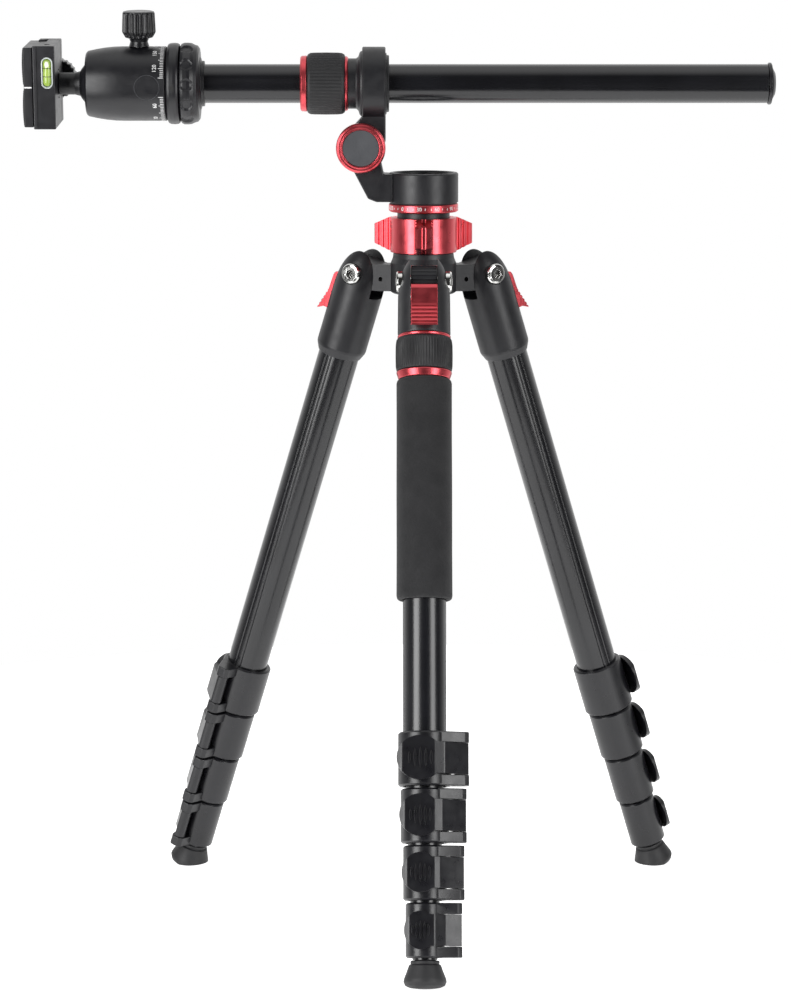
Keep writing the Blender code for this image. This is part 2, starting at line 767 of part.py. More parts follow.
def make_clamp(clamp):
    """The dovetail clamp: its body with the fixed jaw, the moving jaw, the knob, the plate and its screw."""
    wide = CLAMP_HALF_WIDTH
    length = CLAMP_HALF_LENGTH
    split = 0.0146
    body_shape = [
        (-wide, 0),
        (split, 0),
        (split, CLAMP_FLOOR),
        (-0.0196, CLAMP_FLOOR),
        (-0.0166, CLAMP_TOP),
        (-wide, CLAMP_TOP),
    ]
    body = slab("clamp_body", body_shape, -length, length, FLAT_YZ, clamp, BLACK_PAINT)
    jaw_shape = [
        (split + 0.0005, 0),
        (wide, 0),
        (wide, CLAMP_TOP),
        (0.0166, CLAMP_TOP),
        (0.0196, CLAMP_FLOOR),
        (split + 0.0005, CLAMP_FLOOR),
    ]
    jaw = slab("clamp_jaw", jaw_shape, -length, length, FLAT_YZ, clamp, BLACK_PAINT)
    screw_at = (0, 0, CLAMP_SCREW_Z)
    stud = 0.0029
    cut(jaw, rod("jaw_hole", stud + GAP, 0.0, 0.04, clamp, ALONG_Y, screw_at, 12))
    cut(body, rod("body_screw_hole", stud + GAP, 0.0070, 0.04, clamp, ALONG_Y, screw_at, 12))
    cut(body, rod("stem_hole", 0.0040 + GAP, -0.01, 0.0036, clamp, UPRIGHT, steps=16))
    knob = [
        (0, 0.0385),
        (0.0124, 0.0385),
        (0.0135, 0.0374),
        (0.0135, 0.0278),
        (0.0124, 0.0266),
        (0.0070, 0.0266),
        (0.0070, wide + GAP),
        (stud, wide + GAP),
        (stud, 0.0076),
        (0, 0.0076),
    ]
    turned("clamp_knob", knob, clamp, PLASTIC, screw_at, ALONG_Y, 24)

    level_at = (0.0098, 0, 0.0051)
    level_back = 0.0231
    room_shape = capsule(LEVEL_RADIUS + GAP, LEVEL_HALF)
    cut(body, slab("level_room", room_shape, level_back - GAP, 0.03, FLAT_XZ, clamp, at=level_at))
    level_shape = capsule(LEVEL_RADIUS, LEVEL_HALF)
    slab("bubble_level", level_shape, level_back, wide + 0.0004, FLAT_XZ, clamp, VIAL, level_at)

    plate_half = [
        (0.0190, CLAMP_FLOOR + 0.0004),
        (0.0163, CLAMP_TOP - 0.0004),
        (0.0163, CLAMP_TOP + GAP),
        (0.0235, CLAMP_TOP + 0.0005),
        (0.0235, 0.0219),
    ]
    plate_shape = plate_half + [(-across, along) for across, along in reversed(plate_half)]
    plate = slab("quick_release_plate", plate_shape, -0.0263, 0.0263, FLAT_YZ, clamp, BLACK_PAINT)
    head_top = 0.0122
    room = [
        (0, 0.04),
        (0.0035, 0.04),
        (0.0035, head_top + GAP),
        (0.0089, head_top + GAP),
        (0.0089, 0.0),
        (0, 0.0),
    ]
    cut(plate, turned("screw_room", room, clamp, steps=16))
    screw = [
        (0, 0.0216),
        (0.0026, 0.0216),
        (0.00317, 0.0210),
        (0.00317, head_top),
        (0.0086, head_top),
        (0.0086, 0.0092),
        (0, 0.0092),
    ]
    turned("camera_screw", screw, clamp, CHROME, steps=16)


def make_arm_and_head():
    tilt = axis_frame("tilt_axis", TRIPOD, (TILT_X, 0, TILT_Z))
    towards_head = Matrix.Rotation(-pi / 2, 4, "Y")
    column = axis_frame("column_axis", tilt, (-TILT_X, 0, COLUMN_Z - TILT_Z), towards_head)
    head = axis_frame("head_axis", column, turn=Matrix.Rotation(HEAD_TURN, 4, "Z"))
    ball = axis_frame("ball_centre", head, (0, 0, BALL_AT))
    clamp = axis_frame("clamp_axis", ball, (0, 0, CLAMP_BACK - BALL_AT))
    make_swing_ring(tilt, column)
    make_tilt_knob(tilt)
    make_column(column)
    make_ball_head(head, ball)
    make_clamp(clamp)


def shade_parts():
    for obj in PARTS.objects:
        if obj.type == "MESH":
            obj.data.shade_smooth()


make_legs()
make_spider()
make_pan_wing_lock()
make_base_cup()
make_arm_and_head()
shade_parts()
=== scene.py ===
"""The looks of the travel tripod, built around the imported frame, in metres with +Z up.

Each piece is drawn in the frame of the axis that it turns or slides on, as the joints give it,
and then rides on its body.
"""

import json
from math import asin, cos, pi, radians, sin, sqrt, tan

import bpy
import bmesh
from mathutils import Matrix, Vector


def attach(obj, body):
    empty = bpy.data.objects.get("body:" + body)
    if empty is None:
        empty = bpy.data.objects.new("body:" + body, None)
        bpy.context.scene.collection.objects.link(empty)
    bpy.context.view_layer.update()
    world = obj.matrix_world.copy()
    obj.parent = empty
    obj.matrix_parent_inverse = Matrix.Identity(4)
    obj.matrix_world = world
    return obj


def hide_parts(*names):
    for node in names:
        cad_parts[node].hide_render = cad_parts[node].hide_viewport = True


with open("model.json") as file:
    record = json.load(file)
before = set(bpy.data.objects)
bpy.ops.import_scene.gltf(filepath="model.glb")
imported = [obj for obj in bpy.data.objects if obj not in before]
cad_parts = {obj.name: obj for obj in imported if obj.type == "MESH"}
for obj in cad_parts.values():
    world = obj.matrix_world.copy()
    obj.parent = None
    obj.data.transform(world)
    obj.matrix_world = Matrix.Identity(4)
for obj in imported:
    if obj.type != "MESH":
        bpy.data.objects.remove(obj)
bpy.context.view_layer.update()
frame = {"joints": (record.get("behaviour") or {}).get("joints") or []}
JOINTS = {joint["name"]: joint for joint in frame["joints"]}
SIDES = ("front", "right", "left")
FINE = 96
MEDIUM = 64


# ---- Frames, read from the joints ----


def basis(origin, x_axis, y_axis, z_axis):
    rows = [[x, y, z, o] for x, y, z, o in zip(x_axis, y_axis, z_axis, origin)]
    return Matrix(rows + [[0, 0, 0, 1]])


def axis_of(name):
    return Vector(JOINTS[name]["axis"]).normalized()


def place_of(name):
    return Vector(JOINTS[name]["pos_m"])


def leg_frame(side):
    """X towards the levers' pins, -Y outwards and -Z down the leg."""
    x_axis = -axis_of(side + "_leg_splay")
    z_axis = -axis_of(side + "_section_2_slide")
    return basis(place_of(side + "_leg_splay"), x_axis, z_axis.cross(x_axis), z_axis)


PAN = Matrix.Translation((*place_of("base_pan").xy, place_of("front_leg_splay").z))
TILT = Matrix.Translation(place_of("arm_tilt"))
COLUMN_ORIGIN = Vector((*place_of("base_pan").xy, place_of("head_pan").z))
COLUMN = basis(COLUMN_ORIGIN, (0, 0, 1), (0, 1, 0), (-1, 0, 0))
HEAD = basis(COLUMN_ORIGIN, axis_of("ball_lock_turn"), axis_of("ball_tilt"), (-1, 0, 0))
LEGS = {side: leg_frame(side) for side in SIDES}
ALONG_X = Matrix.Rotation(pi / 2, 4, "Y")
ALONG_Y = Matrix.Rotation(-pi / 2, 4, "X")
ALONG_MINUS_Y = Matrix.Rotation(pi / 2, 4, "X")
# How a flat outline stands: its two axes become the two named ones.
FLAT_XY = Matrix.Identity(4)
FLAT_YZ = Matrix(((0, 0, 1, 0), (1, 0, 0, 0), (0, 1, 0, 0), (0, 0, 0, 1)))
FLAT_XZ = Matrix(((1, 0, 0, 0), (0, 0, -1, 0), (0, 1, 0, 0), (0, 0, 0, 1)))


def at(x, y, z):
    return Matrix.Translation((x, y, z))


# ---- Materials ----


def new_material(name, colour, roughness, metallic=0.0, **sockets):
    material = bpy.data.materials.new(name)
    material.use_nodes = True
    shader = material.node_tree.nodes["Principled BSDF"]
    shader.inputs["Base Color"].default_value = (*colour, 1.0)
    shader.inputs["Roughness"].default_value = roughness
    shader.inputs["Metallic"].default_value = metallic
    for socket, value in sockets.items():
        shader.inputs[socket.replace("_", " ")].default_value = value
    return material


def noise(material, scale, detail=4.0, stretch=(1, 1, 1)):
    """A noise in the object's own metres."""
    nodes = material.node_tree.nodes
    links = material.node_tree.links
    place = nodes.new("ShaderNodeTexCoord")
    mapping = nodes.new("ShaderNodeMapping")
    mapping.inputs["Scale"].default_value = stretch
    texture = nodes.new("ShaderNodeTexNoise")
    texture.inputs["Scale"].default_value = scale
    texture.inputs["Detail"].default_value = detail
    links.new(place.outputs["Object"], mapping.inputs["Vector"])
    links.new(mapping.outputs["Vector"], texture.inputs["Vector"])
    return texture.outputs["Fac"]


def ramp(material, value, low, high, start=0.3, end=0.7):
    """Maps a noise to a range of greys or of colours."""
    nodes = material.node_tree.nodes
    node = nodes.new("ShaderNodeValToRGB")
    node.color_ramp.elements[0].position = start
    node.color_ramp.elements[1].position = end
    for element, shade in zip(node.color_ramp.elements, (low, high)):
        element.color = (*shade, 1.0) if hasattr(shade, "__len__") else (shade, shade, shade, 1.0)
    material.node_tree.links.new(value, node.inputs["Fac"])
    return node.outputs["Color"]


def drive(material, socket, output):
    shader = material.node_tree.nodes["Principled BSDF"]
    material.node_tree.links.new(output, shader.inputs[socket])


def bump(material, height, strength, distance):
    nodes = material.node_tree.nodes
    node = nodes.new("ShaderNodeBump")
    node.inputs["Strength"].default_value = strength
    node.inputs["Distance"].default_value = distance
    material.node_tree.links.new(height, node.inputs["Height"])
    drive(material, "Normal", node.outputs["Normal"])


def coat(name, dark, light, rough, grain, depth, metallic=0.0, **sockets):
    """A coated or moulded surface: a fine grain, with cloudy changes of colour and of gloss."""
    material = new_material(name, light, rough[0], metallic, **sockets)
    cloud = noise(material, 38.0, 3.0)
    drive(material, "Base Color", ramp(material, cloud, dark, light))
    drive(material, "Roughness", ramp(material, noise(material, 160.0, 5.0), rough[0], rough[1]))
    bump(material, noise(material, grain, 3.0), 0.35, depth)
    return material


def drawn_tube(name, dark, light, rough):
    """A polished anodised tube, with faint streaks along its length."""
    material = new_material(name, light, rough[0], 0.0, Coat_Weight=0.15, Coat_Roughness=0.16)
    streaks = noise(material, 220.0, 3.0, (1, 1, 0.04))
    drive(material, "Base Color", ramp(material, noise(material, 30.0, 2.0), dark, light))
    drive(material, "Roughness", ramp(material, streaks, rough[0], rough[1]))
    bump(material, streaks, 0.02, 0.00002)
    return material


def make_materials():
    black = (0.0050, 0.0050, 0.0066)
    satin = (0.0085, 0.0086, 0.0108)
    return {
        "casting": coat("satin_black_coat", black, satin, (0.38, 0.48), 2600.0, 0.00006),
        "head_coat": coat("head_black_coat", black, satin, (0.32, 0.41), 3400.0, 0.00004),
        "plastic": coat(
            "moulded_black", (0.0040, 0.0040, 0.0052), (0.0075, 0.0075, 0.0096), (0.26, 0.36), 1900.0, 0.00005
        ),
        "rubber": coat(
            "black_rubber", (0.0050, 0.0050, 0.0058), (0.0095, 0.0095, 0.0110), (0.50, 0.66), 1500.0, 0.00010
        ),
        "tube": drawn_tube(
            "gloss_black_tube", (0.0040, 0.0041, 0.0052), (0.0068, 0.0070, 0.0088), (0.20, 0.28)
        ),
        "red": coat(
            "red_anodised", (0.60, 0.075, 0.090), (0.72, 0.105, 0.125), (0.26, 0.36), 3000.0, 0.00002, 0.95
        ),
        "chrome": coat(
            "bright_steel", (0.62, 0.62, 0.60), (0.80, 0.80, 0.78), (0.08, 0.18), 900.0, 0.00002, 1.0
        ),
        "cap": coat(
            "knob_cap", (0.040, 0.042, 0.047), (0.056, 0.058, 0.064), (0.48, 0.60), 2600.0, 0.00004
        ),
        "print": coat("white_print", (0.66, 0.66, 0.66), (0.82, 0.82, 0.82), (0.5, 0.6), 2000.0, 0.00001),
        "foam": foam_material(),
        "vial": vial_material(),
        "bubble": coat(
            "bubble_glint", (0.72, 0.80, 0.55), (0.86, 0.92, 0.72), (0.05, 0.12), 900.0, 0.00001
        ),
        "clear_edge": coat(
            "clear_plastic_edge", (0.42, 0.46, 0.44), (0.58, 0.62, 0.60), (0.06, 0.14), 1200.0, 0.00002
        ),
        "mark": coat(
            "black_mark", (0.004, 0.004, 0.004), (0.008, 0.008, 0.008), (0.5, 0.6), 2000.0, 0.00001
        ),
    }


def foam_material():
    material = new_material("foam", (0.007, 0.007, 0.008), 0.95, Sheen_Weight=0.06, Sheen_Roughness=0.6)
    cells = noise(material, 1500.0, 6.0)
    drive(material, "Base Color", ramp(material, cells, (0.0045, 0.0045, 0.0052), (0.011, 0.011, 0.0125)))
    drive(material, "Roughness", ramp(material, noise(material, 90.0, 3.0), 0.86, 1.0))
    bump(material, cells, 0.8, 0.00035)
    return material


def vial_material():
    """Yellow-green liquid, faintly cloudy."""
    material = new_material("level_liquid", (0.62, 0.78, 0.22), 0.20, Coat_Weight=0.2, Coat_Roughness=0.1)
    cloud = noise(material, 120.0, 2.0)
    drive(material, "Base Color", ramp(material, cloud, (0.24, 0.36, 0.05), (0.36, 0.49, 0.11)))
    drive(material, "Roughness", ramp(material, noise(material, 300.0, 2.0), 0.05, 0.10))
    return material


MATERIALS = make_materials()


# ---- Shapes: each function returns a mesh in its own frame ----


def mesh_of(edit, smooth_angle=32):
    mesh = bpy.data.meshes.new("shape")
    bmesh.ops.remove_doubles(edit, verts=edit.verts, dist=0.0000005)
    bmesh.ops.recalc_face_normals(edit, faces=edit.faces)
    edit.to_mesh(mesh)
    edit.free()
    mesh.shade_smooth()
    mesh.set_sharp_from_angle(angle=radians(smooth_angle))
    return mesh


def arc(radius, start, end, count, centre=(0, 0)):
    """Points along a circle, from one angle in degrees to another."""
    turns = [radians(start + (end - start) * i / count) for i in range(count + 1)]
    return [(centre[0] + radius * cos(a), centre[1] + radius * sin(a)) for a in turns]


def rounded(points, radius, closed=True, steps=4):
    """The outline with each corner rounded to the radius, or to what its sides leave room for."""
    result = []
    count = len(points)
    for i, point in enumerate(points):
        corner = Vector(point)
        if not closed and i in (0, count - 1):
            result.append(corner)
            continue
        before = Vector(points[i - 1]) - corner
        after = Vector(points[(i + 1) % count]) - corner
        turn = before.angle(after, pi)
        if turn > radians(172) or turn < radians(4):
            result.append(corner)
            continue
        reach = min(radius / tan(turn / 2), before.length * 0.42, after.length * 0.42)
        start = corner + before.normalized() * reach
        end = corner + after.normalized() * reach
        for k in range(steps + 1):
            t = k / steps
            result.append(start * (1 - t) ** 2 + corner * 2 * t * (1 - t) + end * t**2)
    return [tuple(point) for point in result]


def lathe(outline, steps=FINE, edge=0.0004, wave=None, turn=None):
    """A turned shape from (radius, height) points. Wave moves a point out by its angle and height."""
    hollow = outline[0][0] > 0
    outline = rounded(outline, edge, closed=hollow)
    edit = bmesh.new()
    rings = []
    for radius, height in outline:
        if radius < 0.0000001:
            rings.append([edit.verts.new((0, 0, height))])
            continue
        ring = []
        for i in range(steps):
            angle = 2 * pi * i / steps
            reach = radius + (wave(angle, radius, height) if wave else 0)
            ring.append(edit.verts.new((reach * cos(angle), reach * sin(angle), height)))
        rings.append(ring)
    pairs = list(zip(rings, rings[1:] + rings[:1])) if hollow else list(zip(rings, rings[1:]))
    for first, second in pairs:
        for i in range(steps):
            j = (i + 1) % steps
            near = [first[i % len(first)], first[j % len(first)]]
            far = [second[j % len(second)], second[i % len(second)]]
            corners = list(dict.fromkeys(near + far))
            if len(corners) > 2:
                edit.faces.new(corners)
    if turn:
        bmesh.ops.transform(edit, verts=edit.verts, matrix=turn)
    return mesh_of(edit)


def prism(outline, low, high, plane=FLAT_XY, bevel=0.0003, turn=None, segments=2):
    """A flat outline with a thickness, its edges rounded."""
    edit = bmesh.new()
    bottom = [edit.verts.new((x, y, low)) for x, y in outline]
    face = edit.faces.new(bottom)
    made = bmesh.ops.extrude_face_region(edit, geom=[face])["geom"]
    top = [item for item in made if isinstance(item, bmesh.types.BMVert)]
    bmesh.ops.translate(edit, verts=top, vec=(0, 0, high - low))
    bmesh.ops.recalc_face_normals(edit, faces=edit.faces)
    if bevel:
        edges = [edge for edge in edit.edges if edge.calc_face_angle(0) > radians(35)]
        bmesh.ops.bevel(
            edit, geom=edges, offset=bevel, segments=segments, profile=0.5, affect="EDGES", clamp_overlap=True
        )
    matrix = plane if turn is None else turn @ plane
    bmesh.ops.transform(edit, verts=edit.verts, matrix=matrix)
    return mesh_of(edit)


def box(low, high, bevel=0.0, turn=None):
    outline = [(low[0], low[1]), (high[0], low[1]), (high[0], high[1]), (low[0], high[1])]
    return prism(outline, low[2], high[2], bevel=bevel, turn=turn)


def rod(radius, low, high, turn=None, steps=48, edge=0.0):
    return lathe([(0, high), (radius, high), (radius, low), (0, low)], steps, edge, turn=turn)


def moved(mesh, matrix):
    copy = mesh.copy()
    copy.transform(matrix)
    return copy


def solid(base, *changes, bevel=0.0003, angle=30, segments=2):
    """The base mesh after (operation, mesh) Booleans, with its edges rounded."""
    obj = bpy.data.objects.new("work", base)
    bpy.context.scene.collection.objects.link(obj)
    tools = []
    for operation, mesh in changes:
        tool = bpy.data.objects.new("tool", mesh)
        bpy.context.scene.collection.objects.link(tool)
        tools.append(tool)
        modifier = obj.modifiers.new("change", "BOOLEAN")
        modifier.operation = operation
        modifier.object = tool
        modifier.solver = "EXACT"
    if bevel:
        weld = obj.modifiers.new("weld", "WELD")
        weld.merge_threshold = 0.000004
        round_off = obj.modifiers.new("round", "BEVEL")
        round_off.width = bevel
        round_off.segments = segments
        round_off.limit_method = "ANGLE"
        round_off.angle_limit = radians(angle)
        round_off.harden_normals = False
        round_off.use_clamp_overlap = True
    bpy.context.view_layer.update()
    graph = bpy.context.evaluated_depsgraph_get()
    result = bpy.data.meshes.new_from_object(obj.evaluated_get(graph))
    for other in [obj, *tools]:
        bpy.data.objects.remove(other)
    result.shade_smooth()
    result.set_sharp_from_angle(angle=radians(35))
    return result


def merged(*meshes):
    """Several loose meshes as one."""
    edit = bmesh.new()
    for mesh in meshes:
        edit.from_mesh(mesh)
    joined = bpy.data.meshes.new("merged")
    edit.to_mesh(joined)
    edit.free()
    joined.shade_smooth()
    joined.set_sharp_from_angle(angle=radians(35))
    return joined


def put(name, mesh, where, body, finish, *nodes):
    """A named piece in its frame, riding on its body and standing for those CAD nodes."""
    data = mesh.copy()
    data.name = name
    data.materials.clear()
    data.materials.append(MATERIALS[finish])
    obj = bpy.data.objects.new(name, data)
    bpy.context.scene.collection.objects.link(obj)
    obj.matrix_world = where
    normals = obj.modifiers.new("normals", "WEIGHTED_NORMAL")
    normals.keep_sharp = True
    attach(obj, body)
    if nodes:
        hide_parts(*nodes)
    return obj


def ribs(count, depth, low, high, blend):
    """A wave for a lathe: grooves along the axis between two heights."""

    def wave(angle, radius, height):
        fade = min(1.0, max(0.0, min(height - low, high - height) / blend))
        swing = 0.5 - 0.5 * cos(count * angle)
        return -depth * fade * swing

    return wave


def divided(outline, count, wanted):
    """The outline with extra points along the stretches that the test picks."""
    fine = []
    for first, second in zip(outline, outline[1:]):
        fine.append(first)
        if wanted(first, second):
            fine += [tuple(Vector(first).lerp(Vector(second), k / count)) for k in range(1, count)]
    return fine + [outline[-1]]


def wrapped(flat_meshes, radius):
    """Flat meshes, drawn as (distance round, height, thickness), laid on a cylinder whose front is -Y."""
    edit = bmesh.new()
    for mesh in flat_meshes:
        edit.from_mesh(mesh)
    for vert in edit.verts:
        angle = vert.co.x / radius - pi / 2
        reach = radius + vert.co.z
        vert.co = Vector((reach * cos(angle), reach * sin(angle), vert.co.y))
    return mesh_of(edit, smooth_angle=40)


def figures(text, size, across, up, thickness=0.00006):
    """A number as a thin flat mesh, centred on a point."""
    curve = bpy.data.curves.new("figures", "FONT")
    curve.body = text
    curve.size = size
    curve.align_x = "CENTER"
    curve.align_y = "CENTER"
    curve.extrude = thickness
    curve.resolution_u = 3
    obj = bpy.data.objects.new("figures", curve)
    bpy.context.scene.collection.objects.link(obj)
    bpy.context.view_layer.update()
    mesh = bpy.data.meshes.new_from_object(obj.evaluated_get(bpy.context.evaluated_depsgraph_get()))
    bpy.data.objects.remove(obj)
    mesh.transform(at(across, up, 0))
    return mesh


def tick(across, low, high, width, thickness=0.00006):
    return box((across - width / 2, low, -thickness), (across + width / 2, high, thickness))


# ---- Legs: measured down from the pivot, with the front of a leg towards -Y ----

TUBE_RADII = (0.0140, 0.0125, 0.0110, 0.0095, 0.0080)
SECTION_TOPS = (0.0325, 0.060, 0.064, 0.068, 0.072)
LOCK_RADII = (0.0172, 0.0155, 0.0140, 0.0125)
WALL = 0.0012
LOCK_TOP = 0.2980
LOCK_PITCH = 0.0364
LOCK_HEIGHT = 0.0349
LUG_HEIGHT = 0.0072
HINGE_REACH = 0.0069
FOOT_TOP = 0.4436
FOOT_END = 0.4600
FOOT_RADIUS = 0.0138
YOKE_RADIUS = 0.0172
SLOT_HALF = 0.0090
SLOT_FLOOR = 0.0135
TAB_END = 0.0316
BOLT_HEAD_RADIUS = 0.0069


def grooved(depth, half_angle, offsets):
    """A wave that runs grooves down both sides of a tube, at angles from +X and -X."""

    def wave(angle, radius, height):
        if radius < TUBE_RADII[0] - 0.0002:
            return 0
        for side in (0, pi):
            for offset in offsets:
                away = abs((angle - side - offset + pi) % (2 * pi) - pi)
                if away < half_angle:
                    return -depth * cos(away / half_angle * pi / 2)
        return 0

    return wave


def section_tube(number):
    tube = TUBE_RADII[number - 1]
    bore = tube - WALL
    top = -SECTION_TOPS[number - 1]
    end = -(FOOT_TOP - 0.0003) if number == 5 else -(LOCK_TOP + (number - 1) * LOCK_PITCH + 0.030)
    outline = [(bore, top), (tube, top), (tube, end), (bore, end)]
    if number == 1:
        offsets = (-0.14, 0.14)
        return lathe(outline, 4 * FINE, 0.0002, grooved(0.00045, 0.045, offsets))
    return lathe(outline, MEDIUM, 0.0002)


def lug_outline(radius):
    """The ear that holds the lever's pin, seen along the leg."""
    reach = radius + HINGE_REACH + 0.0044
    shape = [
        (0.002, -radius + 0.0012), (radius * 0.55, -radius * 0.80), (reach - 0.0028, -0.0078),
        (reach, -0.0060), (reach, -0.0004), (reach - 0.0024, 0.0016), (radius * 0.93, 0.0030),
        (radius * 0.80, 0.0085), (0.002, radius * 0.56),
    ]
    return rounded(shape, 0.0016)


def lock_body(number):
    """The moulded clamp at a tube's lower end: a band, and two ears that hold the lever's pin."""
    ring = LOCK_RADII[number - 1]
    bore = TUBE_RADII[number - 1] + 0.00005
    start = -(LOCK_TOP + (number - 1) * LOCK_PITCH)
    end = start - LOCK_HEIGHT
    edge = 0.0011
    band = lathe(
        [
            (bore, start), (ring - edge, start), (ring, start - edge), (ring, end + edge),
            (ring - edge, end), (bore, end),
        ],
        FINE,
        0.0003,
    )
    changes = []
    inset = 0.00012
    for low, high in ((start - LUG_HEIGHT, start - inset), (end + inset, end + LUG_HEIGHT)):
        changes.append(("UNION", prism(lug_outline(ring), low, high, bevel=0.0008, segments=3)))
    changes.append(("DIFFERENCE", rod(bore, end - 0.002, start + 0.002)))
    return solid(band, *changes, bevel=0)


def lever_plan(radius, hinge):
    """The lever seen along the leg: a pad in front of the lock, and a strap round to the pin."""
    front = -(radius + 0.0033)
    back = -(radius + 0.0006)
    barrel = 0.0041
    pin_x, pin_y = hinge
    outer = [
        (-radius - 0.0016, back + 0.0010), (-radius - 0.0022, front + 0.0026), (-radius + 0.0024, front),
        (0.0060, front + 0.0001), (radius - 0.0045, front + 0.0018), (radius + 0.0005, front + 0.0060),
        (pin_x + barrel, pin_y - 0.0015),
    ]
    inner = [
        (radius + 0.0012, -radius * 0.50), (radius * 0.79, -radius * 0.78), (radius * 0.47, -radius * 0.96),
        (radius * 0.15, back),
    ]
    points = rounded(outer + arc(barrel, 0, 180, 10, hinge) + inner, 0.0035, steps=5)
    return [(x - pin_x, y - pin_y) for x, y in points]


def lever_front(radius, hinge, half_height):
    """The lever seen from the front: an oval pad that narrows into the strap."""
    strap = LOCK_HEIGHT / 2 - LUG_HEIGHT - 0.0003
    middle = -0.0030
    half_width = radius - 0.0020
    meet = asin(strap / half_height)
    count = 56
    points = []
    for i in range(count + 1):
        turn = meet + (2 * pi - 2 * meet) * i / count
        points.append((middle + half_width * cos(turn), half_height * sin(turn)))
    end = hinge[0] + 0.008
    points += [(end, -strap), (end, strap)]
    return [(x - hinge[0], z) for x, z in points]


def leaf(half_width, half_height, count=10):
    """A pointed oval."""
    side = [half_height * (2 * i / count - 1) for i in range(count + 1)]
    right = [(half_width * (1 - (y / half_height) ** 2), y) for y in side]
    left = [(-x, y) for x, y in reversed(right[1:-1])]
    return right + left


def ridge(half_width, half_height, rise, count=14):
    """A leaf-shaped raised rib that points along +Z, on the XY plane."""
    edit = bmesh.new()
    rim = [edit.verts.new((x, y, -0.0004)) for x, y in leaf(half_width, half_height, count)]
    foot = [edit.verts.new((x, y, 0)) for x, y in leaf(half_width, half_height, count)]
    crest = [
        edit.verts.new((x * 0.35, y * 0.94, rise * (1 - (y / half_height) ** 2) ** 0.5))
        for x, y in leaf(half_width, half_height, count)
    ]
    for lower, upper in ((rim, foot), (foot, crest)):
        for i in range(len(lower)):
            j = (i + 1) % len(lower)
            edit.faces.new((lower[i], lower[j], upper[j], upper[i]))
    edit.faces.new(crest)
    edit.faces.new(list(reversed(rim)))
    return mesh_of(edit, smooth_angle=50)


def lever(number):
    """Local origin on the pin."""
    radius = LOCK_RADII[number - 1]
    hinge = (radius + HINGE_REACH, -0.0032)
    half_height = 0.0142 - 0.0007 * (number - 1)
    body = prism(lever_plan(radius, hinge), -half_height - 0.001, half_height + 0.001, bevel=0)
    front = prism(lever_front(radius, hinge, half_height), -0.04, 0.04, FLAT_XZ, bevel=0)
    body = solid(body, ("INTERSECT", front), bevel=0.0007, segments=3, angle=40)
    middle = -0.0030
    face = -(radius + 0.0033)
    pitch = 0.0035 * radius / LOCK_RADII[0]
    heights = (0.0044, 0.0066, 0.0076, 0.0070, 0.0052)
    ribs_made = []
    for i, height in enumerate(heights):
        across = middle + (i - 2) * pitch - hinge[0]
        rib = ridge(0.0010, height * half_height / 0.0142, 0.0011)
        ribs_made.append(moved(rib, at(across, face - hinge[1] + 0.00005, 0) @ ALONG_MINUS_Y))
    return merged(body, *ribs_made)


def yoke_reach(height):
    """The yoke's radius at a height above or below the pivot: the cheeks draw in towards the top."""
    share = min(1.0, max(0.0, (height + 0.0140) / 0.0340))
    return YOKE_RADIUS * sqrt(1 - share**2.2)


def yoke(front):
    """The casting at the top of a leg: a round sleeve whose forked top straddles the spider's lug."""
    heights = [0.0170 - 0.0310 * i / 28 for i in range(29)]
    outline = [(0, 0.0170)] + [(yoke_reach(height), height) for height in heights]
    bore = TUBE_RADII[0] + 0.0003
    if front:
        end = 0.0605
        outline += [
            (YOKE_RADIUS + 0.0002, -0.0355), (YOKE_RADIUS - 0.0002, -0.0365), (0.0160, -0.0365),
            (0.0160, -end),
        ]
    else:
        end = 0.0600
        outline += [
            (YOKE_RADIUS, -end + 0.0062), (YOKE_RADIUS - 0.0003, -end + 0.0046),
            (YOKE_RADIUS - 0.0020, -end + 0.0008), (bore + 0.0006, -end),
        ]
    outline += [(bore, -end), (bore, -0.0322), (0, -0.0322)]
    base = lathe(outline, FINE, 0.0008)
    cheek = 0.0162
    side_y = YOKE_RADIUS + 0.0004
    dome = arc(cheek, 0, 180, 40) + [(-side_y, -0.010), (-side_y, -end - 0.002)]
    dome += [(side_y, -end - 0.002), (side_y, -0.010)]
    slot = box((-SLOT_HALF, -0.03, -SLOT_FLOOR), (SLOT_HALF, 0.03, 0.03))
    pocket = box((-SLOT_HALF, -0.03, -TAB_END), (SLOT_HALF, -0.0112, -0.002))
    body = solid(
        base,
        ("INTERSECT", prism(dome, -0.018, 0.018, FLAT_YZ, bevel=0)),
        ("DIFFERENCE", slot),
        ("DIFFERENCE", pocket),
        bevel=0.0009,
        segments=3,
        angle=42,
    )
    seat = BOLT_HEAD_RADIUS + 0.0005
    seats = (rod(seat, 0.0140, 0.020, ALONG_X), rod(seat, -0.020, -0.0140, ALONG_X))
    holes = rod(0.0043, -0.03, 0.03, ALONG_X)
    return solid(body, *(("DIFFERENCE", tool) for tool in (*seats, holes)), bevel=0)


def pivot_bolt():
    """A domed head on each cheek, with a hexagon socket."""
    half = [
        (0, 0.0186), (0.0050, 0.0186), (0.0063, 0.0182), (BOLT_HEAD_RADIUS, 0.0172),
        (BOLT_HEAD_RADIUS, 0.0142), (0.0040, 0.0142),
    ]
    outline = half + [(radius, -height) for radius, height in reversed(half)]
    body = lathe(outline, MEDIUM, 0.0004, turn=ALONG_X)
    sockets = [
        lathe([(0, high), (0.0031, high), (0.0031, low), (0, low)], 6, 0, turn=ALONG_X)
        for low, high in ((0.0150, 0.020), (-0.020, -0.0150))
    ]
    return solid(body, *(("DIFFERENCE", tool) for tool in sockets), bevel=0.0002, angle=40)


